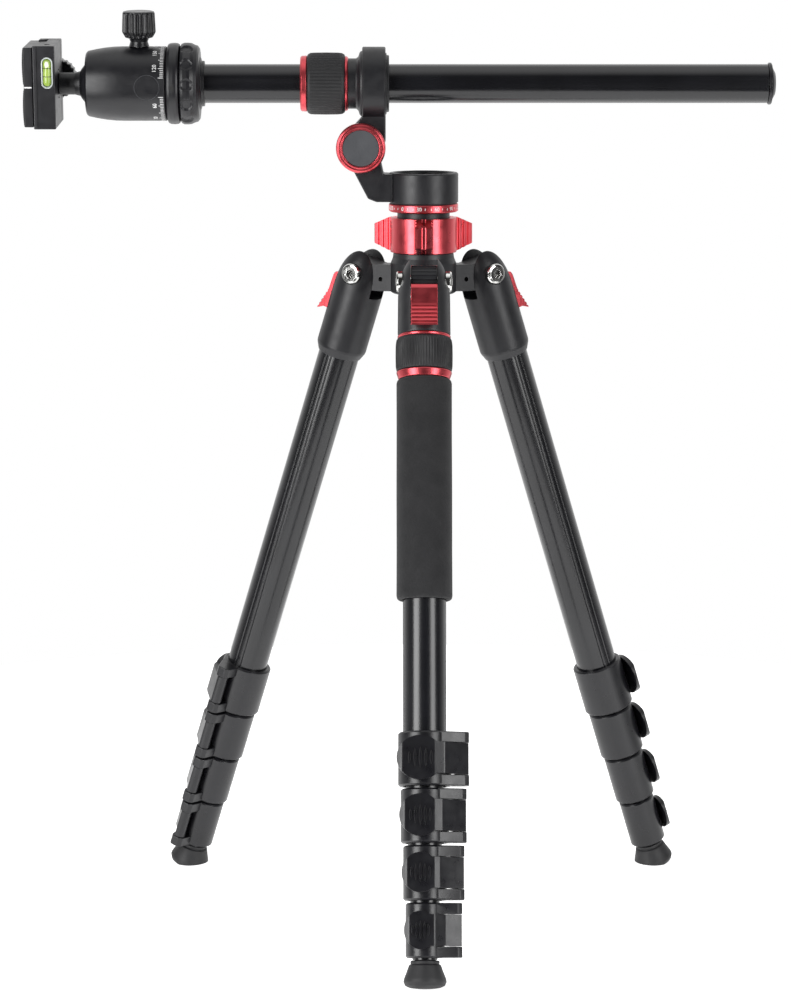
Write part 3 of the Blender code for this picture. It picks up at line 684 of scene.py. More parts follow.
def angle_tab():
    """The catch: smooth above, with level ribs on the part that flares out."""
    inner = -0.0115
    top = [(inner, -0.0050), (-0.0162, -0.0050), (-0.0172, -0.0080), (-0.0176, -0.0175)]
    start = Vector((-0.0177, -0.0186))
    lip = Vector((-0.0222, -0.0326))
    count = 5
    outline = rounded(top, 0.0025, closed=False)
    for i in range(count):
        crest = start.lerp(lip, i / count)
        valley = start.lerp(lip, (i + 0.72) / count) + Vector((0.0008, 0.0002))
        outline += [tuple(crest), tuple(start.lerp(lip, (i + 0.42) / count)), tuple(valley)]
    outline += [tuple(lip), (lip.x, lip.y - 0.0014), (-0.0179, -TAB_END + 0.0003), (inner, -TAB_END + 0.0003)]
    half = SLOT_HALF - 0.0003
    return prism(outline, -half, half, FLAT_YZ, bevel=0.0003)


def foot():
    plug = TUBE_RADII[4] - WALL - 0.0003
    sole = -FOOT_END
    outline = [
        (0, -FOOT_TOP + 0.014), (plug, -FOOT_TOP + 0.014), (plug, -FOOT_TOP), (0.0092, -FOOT_TOP),
        (0.0094, -FOOT_TOP - 0.0016), (0.0091, -FOOT_TOP - 0.0022), (0.0103, -FOOT_TOP - 0.0030),
        (0.0118, sole + 0.0092), (FOOT_RADIUS - 0.0003, sole + 0.0048), (FOOT_RADIUS, sole + 0.0030),
        (FOOT_RADIUS - 0.0010, sole + 0.0006), (FOOT_RADIUS - 0.0034, sole - 0.0010),
        (0.0060, sole - 0.0020), (0, sole - 0.0024),
    ]
    return lathe(outline, FINE, 0.0009)


def flat_sole(mesh, where):
    """Cuts a foot off level with the ground, in the foot's own frame."""
    below = moved(box((-0.6, -0.6, -0.2), (0.6, 0.6, 0.0)), where.inverted())
    return solid(mesh, ("DIFFERENCE", below), bevel=0)


def make_leg_shapes():
    shapes = {"tab": angle_tab(), "bolt": pivot_bolt(), "foot": foot()}
    shapes["yoke", True] = yoke(True)
    shapes["yoke", False] = yoke(False)
    for number in range(1, 6):
        shapes["tube", number] = section_tube(number)
    for number in range(1, 5):
        shapes["lock", number] = lock_body(number)
        shapes["lever", number] = lever(number)
    return shapes


def make_leg(side, shapes):
    where = LEGS[side]
    leg = side + "_leg"
    put(side + "_yoke_casting", shapes["yoke", side == "front"], where, leg, "casting", side + "_yoke")
    put(side + "_pivot_bolt_heads", shapes["bolt"], where, "spider", "chrome", side + "_pivot_bolt")
    put(side + "_angle_catch", shapes["tab"], where, side + "_angle_tab", "red", side + "_angle_tab")
    for number in range(1, 6):
        body = leg if number == 1 else f"{leg}_{number}"
        tube = shapes["tube", number]
        put(f"{side}_tube_{number}", tube, where, body, "tube", f"{side}_section_{number}")
        if number == 5:
            sole = moved(flat_sole(shapes["foot"], where), where)
            put(side + "_rubber_foot", sole, at(0, 0, 0), body, "rubber", side + "_foot")
            continue
        put(f"{side}_lock_{number}", shapes["lock", number], where, body, "plastic")
        middle = -(LOCK_TOP + (number - 1) * LOCK_PITCH + LOCK_HEIGHT / 2)
        pin = where @ at(LOCK_RADII[number - 1] + HINGE_REACH, -0.0032, middle)
        lever_name = f"{side}_lever_{number}"
        put(f"{side}_flip_lever_{number}", shapes["lever", number], pin, lever_name, "plastic", lever_name)


def make_front_leg_covers():
    """The foam grip, and the ribbed collar with its two red rings, on the front leg."""
    where = LEGS["front"]
    inner = TUBE_RADII[0] + 0.0003
    grip = [
        (inner, -0.0663), (0.0168, -0.0663), (0.0178, -0.0672), (0.0182, -0.0690), (0.0181, -0.1000),
        (0.0182, -0.1400), (0.0181, -0.1800), (0.0182, -0.2092), (0.0178, -0.2110), (0.0168, -0.2119),
        (inner, -0.2119),
    ]
    foam = put("front_leg_foam", lathe(grip, FINE, 0.0012), where, "front_leg", "foam", "front_leg_grip")
    sleeve = 0.0163
    rubber = [
        (sleeve, -0.0386), (0.0174, -0.0386), (0.0183, -0.0400), (0.0187, -0.0430), (0.0188, -0.0500),
        (0.0187, -0.0570), (0.0183, -0.0598), (0.0176, -0.0606), (sleeve, -0.0606),
    ]
    wave = ribs(62, 0.00055, -0.0600, -0.0392, 0.002)
    ribbed = lathe(rubber, 4 * FINE, 0.0008, wave)
    put("front_collar_ribs", ribbed, where, "front_collar", "rubber", "front_leg_collar")
    ring = [(sleeve, -0.0367), (0.0172, -0.0367), (0.0175, -0.0372)]
    ring += [(0.0175, -0.0381), (0.0172, -0.0385), (sleeve, -0.0385)]
    put("front_collar_top_ring", lathe(ring, FINE, 0.0002), where, "front_collar", "red")
    cone = [(inner, -0.0611), (0.0181, -0.0611), (0.0183, -0.0616)]
    cone += [(0.0170, -0.0655), (0.0167, -0.0659), (inner, -0.0659)]
    put("front_collar_end_ring", lathe(cone, FINE, 0.0002), where, "front_collar", "red")


# ---- Spider, pan lock and base: measured from the leg pivots' level, on the pan axis ----

HUB_BORE = 0.0142
NECK_RADIUS = 0.0176
NECK_TOP = 0.0426
WING_BOTTOM = 0.0157
WING_TOP = 0.0389
WING_TIP = 0.0356
WING_HALF = 0.0058
PIVOT_RADIUS = 0.0469
LUG_RADIUS = 0.0110
DIAL_BOTTOM = 0.0429
CUP_FLOOR = 0.0490
CUP_TOP = 0.0690
CUP_RADIUS = 0.0233
CUP_BORE = 0.0196
TILT_X = -0.0419
TILT_Z = 0.0861
ARM_HALF = 0.0115
BOSS_RADIUS = 0.0122
KNOB_RADIUS = 0.0165
HEADINGS = {"front": 0.0, "right": 120.0, "left": -120.0}


def spider():
    """The hub and the three lugs, with the steps that the catches stop on."""
    hub = [
        (HUB_BORE, 0.0472), (0.0160, 0.0472), (0.0160, NECK_TOP), (NECK_RADIUS, NECK_TOP),
        (NECK_RADIUS, WING_BOTTOM - 0.0003), (0.0202, WING_BOTTOM - 0.0003), (0.0206, 0.0120),
        (0.0220, 0.0085), (0.0220, -0.0110), (0.0205, -0.0120), (HUB_BORE, -0.0120),
    ]
    half = SLOT_HALF - 0.0003
    inner = -0.0165
    steps = []
    for i in range(5):
        turn = -205 + i * 17
        steps += arc(LUG_RADIUS, turn - 1, turn + 10, 2, (-PIVOT_RADIUS, 0))
        steps += arc(LUG_RADIUS - 0.0009, turn + 11.5, turn + 15.5, 1, (-PIVOT_RADIUS, 0))
    lug = [(inner, -0.0112), (-0.0300, -0.0116), (-PIVOT_RADIUS, -LUG_RADIUS)]
    lug += arc(LUG_RADIUS, -110, -150, 6, (-PIVOT_RADIUS, 0))
    lug += list(reversed(steps))
    lug += arc(LUG_RADIUS, -212, -262, 6, (-PIVOT_RADIUS, 0))
    lug += [(-0.0385, 0.0078), (-0.0330, 0.0062), (inner, 0.0070)]
    changes = []
    for heading in HEADINGS.values():
        turn = Matrix.Rotation(radians(heading), 4, "Z")
        changes.append(("UNION", prism(lug, -half, half, FLAT_YZ, bevel=0.0003, turn=turn)))
    for heading in HEADINGS.values():
        turn = Matrix.Rotation(radians(heading), 4, "Z")
        bolt = turn @ at(0, -PIVOT_RADIUS, 0) @ ALONG_X
        changes.append(("DIFFERENCE", rod(0.0043, -0.02, 0.02, bolt)))
        screw = turn @ at(0, -0.0285, -0.0035) @ ALONG_X
        changes.append(("DIFFERENCE", rod(0.0016, -0.02, 0.02, screw, 32)))
    changes.append(("DIFFERENCE", rod(HUB_BORE, -0.03, 0.06)))
    return solid(lathe(hub, FINE, 0.0005), *changes, bevel=0.0004, angle=50)


def wing_plan():
    """The pan lock seen from above: a round body and three wings, fluted down their sides."""
    root = 0.0222
    points = []
    for number in range(3):
        turn = radians(-90 + 120 * number)
        side = [(root - 0.0010, WING_HALF)]
        for depth in (0.0122, 0.0085, 0.0048):
            groove = WING_TIP - depth
            side += [
                (groove - 0.0011, WING_HALF), (groove - 0.0006, WING_HALF - 0.0009),
                (groove + 0.0006, WING_HALF - 0.0009), (groove + 0.0011, WING_HALF),
            ]
        side += [(WING_TIP - 0.0012, WING_HALF), (WING_TIP, WING_HALF - 0.0012)]
        whole = side + [(x, -y) for x, y in reversed(side)]
        for x, y in reversed(whole):
            points.append((x * cos(turn) - y * sin(turn), x * sin(turn) + y * cos(turn)))
        start = turn + asin(WING_HALF / root) + 0.02
        end = turn + 2 * pi / 3 - asin(WING_HALF / root) - 0.02
        for i in range(15):
            angle = start + (end - start) * i / 14
            points.append((root * cos(angle), root * sin(angle)))
    return points


def wing_channels():
    """The rounded channel that runs up the end and over the two slopes of each wing."""
    channels = []
    for number in range(3):
        turn = Matrix.Rotation(radians(-90 + 120 * number), 4, "Z")
        low = box((WING_TIP - 0.0020, -0.0016, -0.02), (WING_TIP + 0.01, 0.0016, 0.08), bevel=0.0009)
        channels.append(moved(low, turn))
        for height, lean in ((WING_TOP, -1), (WING_BOTTOM, 1)):
            slope = box((-0.0085, -0.0016, -0.0014), (0.03, 0.0016, 0.02), bevel=0.0009)
            tip = Matrix.Rotation(-lean * radians(-22), 4, "Y")
            if lean > 0:
                tip = tip @ Matrix.Rotation(pi, 4, "X")
            channels.append(moved(slope, turn @ at(WING_TIP - 0.0065, 0, height + lean * 0.0026) @ tip))
    return channels


def pan_lock():
    cone = [
        (0, WING_TOP), (0.0205, WING_TOP), (0.0240, WING_TOP - 0.0002),
        (WING_TIP + 0.0002, WING_TOP - 0.0052), (WING_TIP + 0.0002, WING_BOTTOM + 0.0052),
        (0.0238, WING_BOTTOM + 0.0003), (0.0205, WING_BOTTOM), (0, WING_BOTTOM),
    ]
    shape = solid(
        prism(wing_plan(), WING_BOTTOM - 0.001, WING_TOP + 0.001, bevel=0),
        ("INTERSECT", lathe(cone, FINE, 0)),
        ("DIFFERENCE", rod(NECK_RADIUS + 0.0003, 0, 0.05)),
        bevel=0.00035,
        angle=40,
    )
    return solid(shape, *(("DIFFERENCE", channel) for channel in wing_channels()), bevel=0)


def base_cup():
    """The cup that seats the column's ring, with the lower arm."""
    cup = [
        (0.0163, CUP_FLOOR - 0.0006), (CUP_RADIUS - 0.0008, CUP_FLOOR - 0.0006),
        (CUP_RADIUS - 0.0008, CUP_FLOOR), (CUP_RADIUS, CUP_FLOOR + 0.0003), (CUP_RADIUS, CUP_TOP - 0.0008),
        (CUP_RADIUS - 0.0008, CUP_TOP), (CUP_BORE + 0.0008, CUP_TOP), (CUP_BORE, CUP_TOP - 0.0010),
        (CUP_BORE, CUP_FLOOR + 0.0008), (0.0163, CUP_FLOOR + 0.0008),
    ]
    low = CUP_FLOOR + 0.0008
    high = CUP_TOP - 0.0008
    arm = [(-0.0205, low), (-0.0315, low), (-0.0372, low + 0.0022)]
    arm = rounded(arm, 0.004, closed=False)
    arm += arc(BOSS_RADIUS, 225, 35, 40, (TILT_X, TILT_Z))
    arm += rounded([(-0.0268, high + 0.0002), (-0.0205, high)], 0.002, closed=False)
    tilt = at(TILT_X, 0, TILT_Z) @ ALONG_Y
    arm_mesh = prism(arm, -ARM_HALF, ARM_HALF, FLAT_XZ, bevel=0.0009, segments=3)
    arm_mesh = solid(
        arm_mesh,
        ("DIFFERENCE", rod(0.0176, -0.00015, 0.02, tilt)),
        ("DIFFERENCE", rod(CUP_RADIUS - 0.0010, 0.03, 0.1)),
        bevel=0,
    )
    return solid(lathe(cup, 2 * FINE, 0.0003), ("UNION", arm_mesh), bevel=0)


def dial_numbers():
    """White numbers every 30 degrees, with two small marks between them."""
    radius = CUP_RADIUS - 0.00002
    middle = (DIAL_BOTTOM + CUP_FLOOR) / 2 - 0.0003
    start = -37.6
    meshes = []
    for angle in range(0, 360, 10):
        across = radius * radians(angle + start)
        if angle % 30 == 0:
            meshes.append(figures(str(angle), 0.0036, across, middle))
        else:
            meshes.append(tick(across, middle - 0.0007, middle + 0.0007, 0.0004))
    return wrapped(meshes, radius)


def lug_teeth():
    """Level ridges across the front leg's lug, between the yoke's cheeks, in the pivot's frame."""
    ridges = []
    for degrees_up in (16, 30, 44, 58, 72):
        turn = Matrix.Rotation(-radians(degrees_up), 4, "X")
        low = (-0.0080, -LUG_RADIUS - 0.0005, -0.0006)
        high = (0.0080, -LUG_RADIUS + 0.0006, 0.0006)
        ridges.append(moved(box(low, high, bevel=0.0003), turn))
    return merged(*ridges)


def make_centre():
    put("front_lug_teeth", lug_teeth(), PAN @ at(0, -PIVOT_RADIUS, 0), "spider", "casting")
    put("spider_casting", spider(), PAN, "spider", "casting", "spider")
    put("pan_lock_wings", pan_lock(), PAN, "pan_lock", "red", "pan_wing_lock")
    put("base_cup_casting", base_cup(), PAN, "base", "casting", "base_cup")
    ring = [
        (0.0163, DIAL_BOTTOM), (CUP_RADIUS - 0.0010, DIAL_BOTTOM), (CUP_RADIUS, DIAL_BOTTOM + 0.0007),
        (CUP_RADIUS, CUP_FLOOR - 0.0012), (CUP_RADIUS - 0.0004, CUP_FLOOR - 0.0007),
        (0.0163, CUP_FLOOR - 0.0007),
    ]
    put("dial_ring", lathe(ring, 2 * FINE, 0.0004), PAN, "base", "red")
    put("dial_numbers", dial_numbers(), PAN, "base", "print")


# ---- Tilting arm and column: measured along the column from the pan axis towards the head ----

COLUMN_RADIUS = 0.0129
COLUMN_BORE = 0.0114
HEAD_END = 0.1477
TAIL_END = -0.2294
RING_RADIUS = 0.0244
BALL_AT = 0.2132
BALL_RADIUS = 0.0179
STEM_RADIUS = 0.0073
HOUSING_RADIUS = 0.0247
HOUSING_END = 0.2248
MOUTH_RADIUS = 0.0152
KNOB_AT = 0.1895
CLAMP_BACK = 0.2436


def swing_ring():
    """The ring that carries the column, drawn in the column's frame."""
    bore = COLUMN_RADIUS + 0.00035
    outline = [
        (bore, 0.0700), (0.0155, 0.0700), (0.0155, 0.0516), (0.0164, 0.0514), (0.0167, 0.0508),
        (0.0167, 0.0452), (0.0172, 0.0444), (0.0180, 0.0436), (0.0205, 0.0428), (0.0214, 0.0420),
        (0.0218, 0.0410), (0.0238, 0.0410), (RING_RADIUS, 0.0404), (RING_RADIUS, 0.0263), (0.0238, 0.0255),
        (0.0204, 0.0255), (0.0204, 0.0249), (0.0189, 0.0246), (0.0189, 0.0236), (0.0184, 0.0231),
        (bore, 0.0231),
    ]
    return lathe(outline, 2 * FINE, 0.0003)


def upper_arm():
    """Drawn round the tilt axis, in the plane of the pan axis."""
    right = -0.0254 - TILT_X
    left = -0.0413 - TILT_X
    top = 0.0250
    arm = [(right, top)]
    boss_start = (BOSS_RADIUS * 0.866, -BOSS_RADIUS * 0.5)
    arm += rounded([(right, top - 0.001), (right, 0.0040), boss_start], 0.004, closed=False)
    arm += arc(BOSS_RADIUS, -30, -190, 32)[1:]
    arm += rounded([(-0.0105, 0.0070), (-0.0040, 0.0150), (left, 0.0200), (left, top)], 0.004, closed=False)
    mesh = prism(arm, -ARM_HALF, ARM_HALF, FLAT_XZ, bevel=0.0009, segments=3)
    return solid(mesh, ("DIFFERENCE", rod(0.0160, -0.02, 0.00015, ALONG_Y)), bevel=0)


def make_tilt():
    put("swing_ring_casting", swing_ring(), COLUMN, "tilt_arm", "casting", "swing_ring")
    put("upper_arm_casting", upper_arm(), TILT, "tilt_arm", "casting")
    knob = [
        (0.0123, 0.0207), (0.0123, 0.0216), (0.0131, 0.0217), (0.0137, 0.0211), (0.0148, 0.0211),
        (0.0158, 0.0205), (KNOB_RADIUS, 0.0192), (KNOB_RADIUS, 0.0136), (0.0150, 0.0119), (0.0040, 0.0119),
        (0.0040, 0.0185),
    ]
    rim = lathe(knob, 2 * FINE, 0.0003, turn=ALONG_MINUS_Y)
    put("tilt_knob_rim", rim, TILT, "tilt_knob", "red", "tilt_knob")
    cap = [(0, 0.0211), (0.0118, 0.0211), (0.0121, 0.0208), (0.0121, 0.0196), (0, 0.0196)]
    put("tilt_knob_cap", lathe(cap, FINE, 0.0002, turn=ALONG_MINUS_Y), TILT, "tilt_knob", "cap")
    shank = rod(0.0040, -0.0105, 0.0190, ALONG_MINUS_Y, edge=0.0004)
    put("tilt_knob_shank", shank, TILT, "tilt_knob", "chrome")


def make_column():
    bore = COLUMN_RADIUS + 0.00035
    rubber = [
        (bore, 0.0777), (0.0186, 0.0777), (0.0196, 0.0770), (0.0203, 0.0756), (0.0205, 0.0730),
        (0.0206, 0.0650), (0.0205, 0.0570), (0.0202, 0.0545), (0.0194, 0.0530), (0.0184, 0.0525),
        (0.0158, 0.0525), (0.0158, 0.0704), (bore, 0.0704),
    ]
    wave = ribs(56, 0.00042, 0.0538, 0.0762, 0.002)

    def outer_only(angle, radius, height):
        return wave(angle, radius, height) if radius > 0.0170 else 0

    grip = lathe(rubber, 4 * FINE, 0.0006, outer_only)
    put("column_collar_grip", grip, COLUMN, "column_collar", "rubber", "column_collar")
    ring = [(bore, 0.0822), (0.0176, 0.0822), (0.0184, 0.0813)]
    ring += [(0.0186, 0.0784), (0.0183, 0.0779), (bore, 0.0779)]
    put("column_collar_ring", lathe(ring, FINE, 0.0003), COLUMN, "column_collar", "red")
    thin = [(0.0158, 0.0524), (0.0182, 0.0524), (0.0180, 0.0512), (0.0172, 0.0504), (0.0158, 0.0504)]
    put("column_collar_back_ring", lathe(thin, FINE, 0.0003), COLUMN, "column_collar", "red")
    tube = [(COLUMN_BORE, HEAD_END), (COLUMN_RADIUS, HEAD_END)]
    tube += [(COLUMN_RADIUS, TAIL_END), (COLUMN_BORE, TAIL_END)]
    put("column_pipe", lathe(tube, 2 * FINE, 0.0002), COLUMN, "column", "tube", "column_tube")
    plug = COLUMN_BORE - 0.0003
    cap = [
        (0, TAIL_END + 0.0110), (plug, TAIL_END + 0.0110), (plug, TAIL_END - 0.0003),
        (0.0134, TAIL_END - 0.0003), (0.0139, TAIL_END - 0.0007), (0.0139, TAIL_END - 0.0020),
        (0.0134, TAIL_END - 0.0026), (0.0110, TAIL_END - 0.0028), (0.0104, TAIL_END - 0.0034),
        (0.0074, TAIL_END - 0.0050), (0, TAIL_END - 0.0050),
    ]
    put("column_cap", lathe(cap, FINE, 0.0003), COLUMN, "column", "plastic", "column_end_cap")
    put("column_platform_ring", platform(), COLUMN, "column", "head_coat", "column_platform")


def platform():
    """The knob under the head, with round dimples for the fingers."""
    plug = COLUMN_BORE - 0.0003
    outline = [
        (0, 0.1620), (0.0250, 0.1620), (0.0264, 0.1612), (0.0272, 0.1596), (0.0273, 0.1570),
        (0.0270, 0.1548), (0.0258, 0.1526), (0.0252, 0.1506), (0.0236, 0.1494), (0.0178, 0.1492),
        (0.0170, 0.1484), (0.0152, 0.1480), (0.0150, 0.1462), (COLUMN_RADIUS + 0.0003, 0.1462),
        (COLUMN_RADIUS + 0.0003, HEAD_END + 0.0003), (plug, HEAD_END + 0.0003), (plug, 0.1360), (0, 0.1360),
    ]
    count = 12
    dimple = 0.0043

    def dimpled(angle, radius, height):
        if radius < 0.0250:
            return 0
        turn = (angle + pi + pi / count) % (2 * pi / count) - pi / count
        away = sqrt((turn * radius) ** 2 + (height - 0.1572) ** 2)
        if away > dimple:
            return 0
        return -0.0013 * min(1.0, (1 - (away / dimple) ** 2) * 2.2)

    fine = divided(outline, 6, lambda first, second: first[0] > 0.0255 and second[0] > 0.0250)
    return lathe(fine, 4 * FINE, 0.0002, dimpled)


# ---- Ball head: measured along the column, with X up and Y towards the back ----


def housing():
    room = BALL_RADIUS + 0.0004
    rim = sqrt(room**2 - MOUTH_RADIUS**2)
    socket = [(room * sin(a), BALL_AT - room * cos(a)) for a in (pi * i / 40 for i in range(27))]
    outline = socket + [
        (MOUTH_RADIUS, BALL_AT + rim), (MOUTH_RADIUS, HOUSING_END - 0.0006),
        (MOUTH_RADIUS + 0.0006, HOUSING_END), (0.0205, HOUSING_END), (0.0217, HOUSING_END - 0.0012),
        (0.0229, 0.2180), (0.0239, 0.2120), (0.0245, 0.2060), (HOUSING_RADIUS, 0.2000),
        (HOUSING_RADIUS, 0.1718), (HOUSING_RADIUS - 0.0006, 0.1712), (0, 0.1712),
    ]
    body = lathe(outline, 2 * FINE, 0.0008)
    stud = rod(0.0043, 0.0150, 0.03, at(0, 0, KNOB_AT) @ ALONG_X)
    cover_at = at(0, 0, 0.1833) @ ALONG_MINUS_Y
    gap = [(0.0084, 0.03), (0.0084, 0.015), (0.0080, 0.015), (0.0080, 0.03)]
    groove = lathe(gap, MEDIUM, 0, turn=cover_at)
    return solid(body, ("DIFFERENCE", stud), ("DIFFERENCE", groove), bevel=0)


def housing_scale():
    """Numbers every 30 degrees, read from the clamp's side, with a fine scale beside them."""
    radius = HOUSING_RADIUS - 0.00002
    meshes = []
    for angle in range(0, 360, 30):
        across = radius * radians(angle - 90)
        if angle == 90:
            continue
        meshes.append(figures(str(angle), 0.0038, across, 0.1782, 0.00009))
    for step in range(0, 360, 3):
        across = radius * radians(step)
        if min(step % 360, 360 - step) < 14:
            continue
        length = 0.0034 if step % 15 == 0 else 0.0023
        meshes.append(tick(across, 0.1724, 0.1724 + length, 0.00034))
    return wrapped(meshes, radius)


def housing_ring():
    """A lighter ring painted into the groove round the cover let into the housing's front: a painted
    highlight on the cover's edge.
    """
    ring = [(0.00840, 0.00007), (0.00840, -0.0002), (0.00815, -0.0002), (0.00815, 0.00007)]
    return wrapped([moved(lathe(ring, MEDIUM, 0), at(0, 0.1833, 0))], HOUSING_RADIUS)


def ball_knob():
    """The ball's locking knob, with deep rounded flutes."""
    outline = [
        (0, 0.0481), (0.0090, 0.0481), (0.0103, 0.0477), (0.0107, 0.0466), (0.0108, 0.0440),
        (0.0110, 0.0400), (0.0112, 0.0345), (0.0108, 0.0335), (0.0100, 0.0322), (0.0092, 0.0308),
        (0.0084, 0.0306), (0.0066, 0.0300), (0.0058, 0.0280), (0.0064, 0.0260),
        (0.0068, HOUSING_RADIUS + 0.0003), (0.0040, HOUSING_RADIUS + 0.0003), (0.0040, 0.0156), (0, 0.0156),
    ]

    def flutes(angle, radius, height):
        if radius < 0.0086:
            return 0
        top = min(1.0, max(0.0, (0.0474 - height) / 0.0010))
        foot_fade = min(1.0, max(0.0, (height - 0.0306) / 0.0020))
        swing = (0.5 - 0.5 * cos(18 * angle)) ** 1.6
        return -0.0013 * swing * top * foot_fade

    fine = divided(outline, 4, lambda first, second: first[0] > 0.0086 and second[0] > 0.0086)
    return lathe(fine, 4 * FINE, 0.0002, flutes)


def ball():
    """The ball and its stem, measured from the ball's centre."""
    top = CLAMP_BACK - BALL_AT - 0.0003
    foot_turn = asin(STEM_RADIUS / BALL_RADIUS)
    count = 48
    sphere = [foot_turn + (pi - foot_turn) * i / count for i in range(count + 1)]
    outline = [
        (0, top + 0.0035), (0.0040, top + 0.0035), (0.0040, top), (0.0070, top),
        (STEM_RADIUS, top - 0.0006), (STEM_RADIUS, BALL_RADIUS * cos(foot_turn) + 0.0030),
        (STEM_RADIUS + 0.0006, BALL_RADIUS * cos(foot_turn) + 0.0010),
    ]
    outline += [(BALL_RADIUS * sin(a), BALL_RADIUS * cos(a)) for a in sphere[1:-1]]
    outline += [(0, -BALL_RADIUS)]
    return lathe(outline, FINE, 0.0002)


def index_mark():
    """The dark pointer on the pan base, in front."""
    reach = 0.0269
    shape = [(-0.0032, 0.1652), (0.0032, 0.1652), (0.0, 0.1684)]
    mesh = prism(rounded(shape, 0.0004), -0.0006, 0.0003, bevel=0)
    return wrapped([mesh], reach)


def make_head():
    pan_base = [
        (0, 0.1709), (0.0244, 0.1709), (0.0262, 0.1700), (0.0268, 0.1686), (0.0270, 0.1660),
        (0.0268, 0.1640), (0.0262, 0.1628), (0.0240, 0.1623), (0, 0.1623),
    ]
    put("pan_base_ring", lathe(pan_base, 2 * FINE, 0.0005), COLUMN, "column", "head_coat", "pan_base")
    put("ball_housing_shell", housing(), HEAD, "head", "head_coat", "ball_housing")
    put("housing_scale", housing_scale(), HEAD, "head", "print")
    # A thin lighter-grey ring in the cover's groove: painted highlight on the cover's edge, not a colour of
    # its own.
    put("housing_cover_painted_highlight", housing_ring(), HEAD, "head", "cap")
    put("pan_base_pointer", index_mark(), HEAD, "column", "mark")
    knob_at = HEAD @ at(0, 0, KNOB_AT) @ ALONG_X
    put("ball_knob_grip", ball_knob(), knob_at, "ball_lock_knob", "plastic", "ball_lock_knob")
    put("ball_and_stem", ball(), HEAD @ at(0, 0, BALL_AT), "ball", "casting", "ball")


# ---- Clamp: X up, Y towards the back, Z outwards from the ball ----

CLAMP_HALF_WIDTH = 0.0255
CLAMP_HALF_LENGTH = 0.0275
CLAMP_FLOOR = 0.0084
CLAMP_TOP = 0.0146
CLAMP_SPLIT = 0.0146
SCREW_Z = 0.0043
LEVEL_AT = (0.0098, 0, 0.0051)
LEVEL_RADIUS = 0.0038
LEVEL_REACH = 0.0065


def capsule(radius, count=16):
    return arc(radius, -90, 90, count, (LEVEL_REACH, 0)) + arc(radius, 90, 270, count, (-LEVEL_REACH, 0))


def clamp_body():
    wide = CLAMP_HALF_WIDTH
    shape = [
        (-wide, 0), (CLAMP_SPLIT, 0), (CLAMP_SPLIT, CLAMP_FLOOR), (-0.0196, CLAMP_FLOOR),
        (-0.0166, CLAMP_TOP), (-wide, CLAMP_TOP),
    ]
    body = prism(shape, -CLAMP_HALF_LENGTH, CLAMP_HALF_LENGTH, FLAT_YZ, bevel=0.0007, segments=3)
    room = prism(capsule(LEVEL_RADIUS + 0.0003), 0.0228, 0.03, FLAT_XZ, bevel=0)
    ring = lathe([(0.0098, 0.0006), (0.0098, -0.01), (0.0090, -0.01), (0.0090, 0.0006)], MEDIUM, 0)
    lip = box((-0.03, -wide - 0.001, CLAMP_TOP - 0.0032), (0.03, -wide + 0.0004, CLAMP_TOP - 0.0026))
    return solid(
        body,
        ("DIFFERENCE", moved(room, at(*LEVEL_AT))),
        ("DIFFERENCE", rod(0.0032, 0.0070, 0.04, at(0, 0, SCREW_Z) @ ALONG_Y)),
        ("DIFFERENCE", rod(0.0043, -0.01, 0.0036)),
        ("DIFFERENCE", ring),
        ("DIFFERENCE", lip),
        ("DIFFERENCE", rod(0.0022, 0.0235, 0.03, at(0, -0.0140, 0.0060) @ ALONG_X)),
        bevel=0,
    )


def clamp_jaw():
    wide = CLAMP_HALF_WIDTH
    split = CLAMP_SPLIT + 0.0005
    shape = [(split, 0), (wide, 0), (wide, CLAMP_TOP)]
    shape += [(0.0166, CLAMP_TOP), (0.0196, CLAMP_FLOOR), (split, CLAMP_FLOOR)]
    jaw = prism(shape, -CLAMP_HALF_LENGTH, CLAMP_HALF_LENGTH, FLAT_YZ, bevel=0.0007, segments=3)
    return solid(jaw, ("DIFFERENCE", rod(0.0032, 0.0, 0.04, at(0, 0, SCREW_Z) @ ALONG_Y)), bevel=0)


def clamp_knob():
    outline = [
        (0, 0.0385), (0.0112, 0.0385), (0.0126, 0.0381), (0.0134, 0.0370), (0.0136, 0.0340),
        (0.0136, 0.0290), (0.0134, 0.0278), (0.0124, 0.0267), (0.0072, 0.0266),
        (0.0070, CLAMP_HALF_WIDTH + 0.0003), (0.0029, CLAMP_HALF_WIDTH + 0.0003), (0.0029, 0.0076),
        (0, 0.0076),
    ]

    def flutes(angle, radius, height):
        if radius < 0.0116:
            return 0
        fade = min(1.0, max(0.0, min(height - 0.0272, 0.0380 - height) / 0.0008))
        return -0.0009 * fade * (0.5 - 0.5 * cos(24 * angle)) ** 1.5

    return lathe(outline, 4 * FINE, 0.0006, flutes)


def plate():
    half = [
        (0.0190, CLAMP_FLOOR + 0.0004), (0.0163, CLAMP_TOP - 0.0004), (0.0163, CLAMP_TOP + 0.0003),
        (0.0235, CLAMP_TOP + 0.0005), (0.0235, 0.0208),
    ]
    shape = half + [(-across, along) for across, along in reversed(half)]
    body = prism(rounded(shape, 0.0004), -0.0263, 0.0263, FLAT_YZ, bevel=0.0005)
    room = [(0, 0.04), (0.0035, 0.04), (0.0035, 0.0125), (0.0089, 0.0125), (0.0089, 0.0), (0, 0.0)]
    slot = box((-0.0240, -0.0036, 0.0180), (0.0240, 0.0036, 0.03))
    return solid(body, ("DIFFERENCE", lathe(room, MEDIUM, 0)), ("DIFFERENCE", slot), bevel=0)


